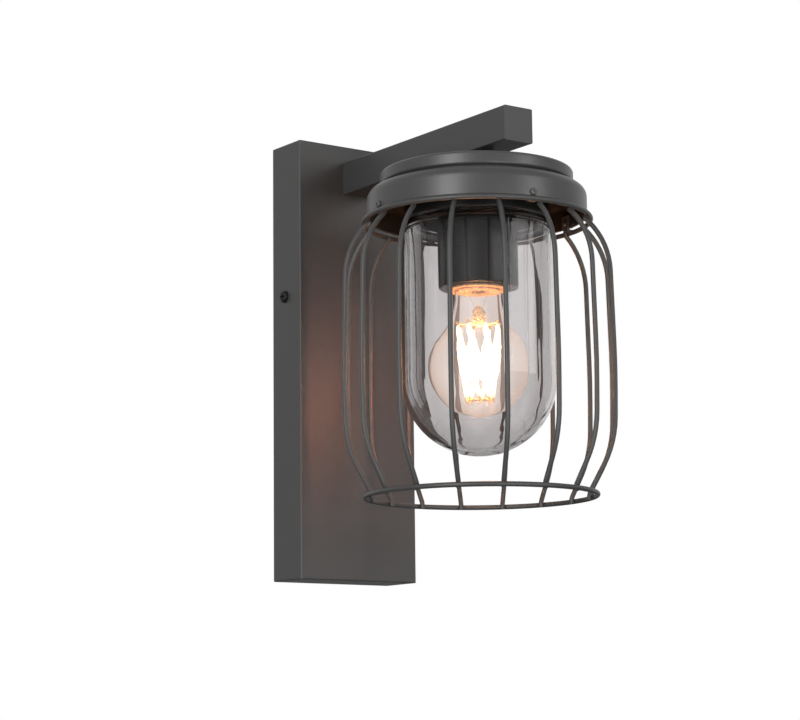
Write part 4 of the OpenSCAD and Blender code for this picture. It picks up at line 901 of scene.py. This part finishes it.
link_all(lit_tree, (
    (facing.outputs["Facing"], warmth.inputs["Fac"]),
    (stick_place.outputs["Object"], stick_height.inputs[0]),
    (stick_height.outputs["Z"], stick_end.inputs["Value"]),
    (stick_end.outputs["Result"], end_colour.inputs["Factor"]),
    (warmth.outputs["Color"], end_colour.inputs["B"]),
    (end_colour.outputs["Result"], lit_surface.inputs["Emission Color"])))


def about_centre(radius, height, degrees):
    """A place about the axis of the mesh that is to be copied round the lamp."""
    return Vector((radius * math.cos(math.radians(degrees)) * MM,
                   radius * math.sin(math.radians(degrees)) * MM, height * MM))


def spindle(name, start, stop, rings=26, sides=14):
    """A round rod between two points, bowed out, blunt at both ends and a little crumpled."""
    way = (stop - start).normalized()
    side = way.cross(Vector((0, 0, 1))).normalized()
    up = way.cross(side)
    points = [tuple(start)]
    for k in range(1, rings):
        t = k / rings
        r = STICK_R * MM * (1 - abs(2 * t - 1) ** 3.2) ** 0.6
        middle = start.lerp(stop, t)
        outward = Vector((middle.x, middle.y, 0)).normalized()
        middle += outward * STICK_BOW * MM * math.sin(math.pi * t)
        for n in range(sides):
            out = math.cos(math.tau * n / sides) * side + math.sin(math.tau * n / sides) * up
            swell = 1 + STICK_CRUMPLE * crumpled(middle + out * MM, 5)
            points.append(tuple(middle + r * swell * out))
    points.append(tuple(stop))
    return mesh_of(name, points, ended_faces(rings - 1, sides))


stick_low, stick_top = about_centre(*STICK_LOW, STICK_TWIST), about_centre(*STICK_TOP, 0)
stick_set = {"Count": 8, "First Turn": math.radians(22.5)}
spread_round("bulb_lit_sticks", spindle("stick", stick_low, stick_top), copies_round_axis,
             stick_set, lit, "bulb", ["bulb_filaments"])
gilt = mottled("gilt_strip", (0.75, 0.47, 0.2), (0.95, 0.7, 0.4), (0.2, 0.4), 0.0012,
               metallic=1.0, bump=0.5, depth=0.0004)
half_strip = (stick_top - stick_low).normalized() * MM * STRIP_HALF
for name, end, half in (("bulb_strips_upper", stick_top, half_strip),
                        ("bulb_strips_lower", stick_low, -half_strip)):
    spread_round(name, line_mesh("strip_line", [end - half, end + half]), rods_round_axis,
                 {"Rod Radius": STRIP_R * MM, "Sides": 6, **stick_set}, gilt, "bulb",
                 None)


def lamp_in_bulb(name, kind, height, power, colour, size):
    """A warm lamp on the lamp's axis, for the light that the sticks give."""
    data = bpy.data.lights.new(name, kind)
    data.energy = power
    data.color = colour
    data.shadow_soft_size = size
    lamp = bpy.data.objects.new(name, data)
    lamp.location = (0, LAMP.y, height * MM)
    scene.collection.objects.link(lamp)
    return lamp


lamp_in_bulb("bulb_glow", "POINT", GLOBE_Z + 3, 0.8, (1.0, 0.40, 0.14), 0.009)
box_glow = lamp_in_bulb("glow_on_box", "SPOT", GLOBE_Z - 1, 1.5, (1.0, 0.29, 0.19), 0.006)
box_glow.data.spot_size = math.radians(100)
box_glow.data.spot_blend = 1.0
glow_spot = Vector((-0.015, -0.031, -0.024))
box_glow.rotation_euler = (glow_spot - box_glow.location).to_track_quat("-Z", "Y").to_euler()


# What each soft lamp lights: two of them the two glasses alone, and the other three all the rest.
def light_only(name, lamps, glasses_are):
    """Links the lamps to a collection of the two glasses, which they light alone or leave out."""
    receivers = bpy.data.collections.new(name)
    for piece in (glass_jar, bulb_globe):
        receivers.objects.link(piece)
    for lamp in lamps:
        lamp.light_linking.receiver_collection = receivers
    for entry in receivers.collection_objects:
        entry.light_linking.link_state = glasses_are


light_only("glasses", (glass_softbox, glass_left_softbox), "INCLUDE")
light_only("not_glasses", (left_softbox, right_softbox, front_softbox), "EXCLUDE")
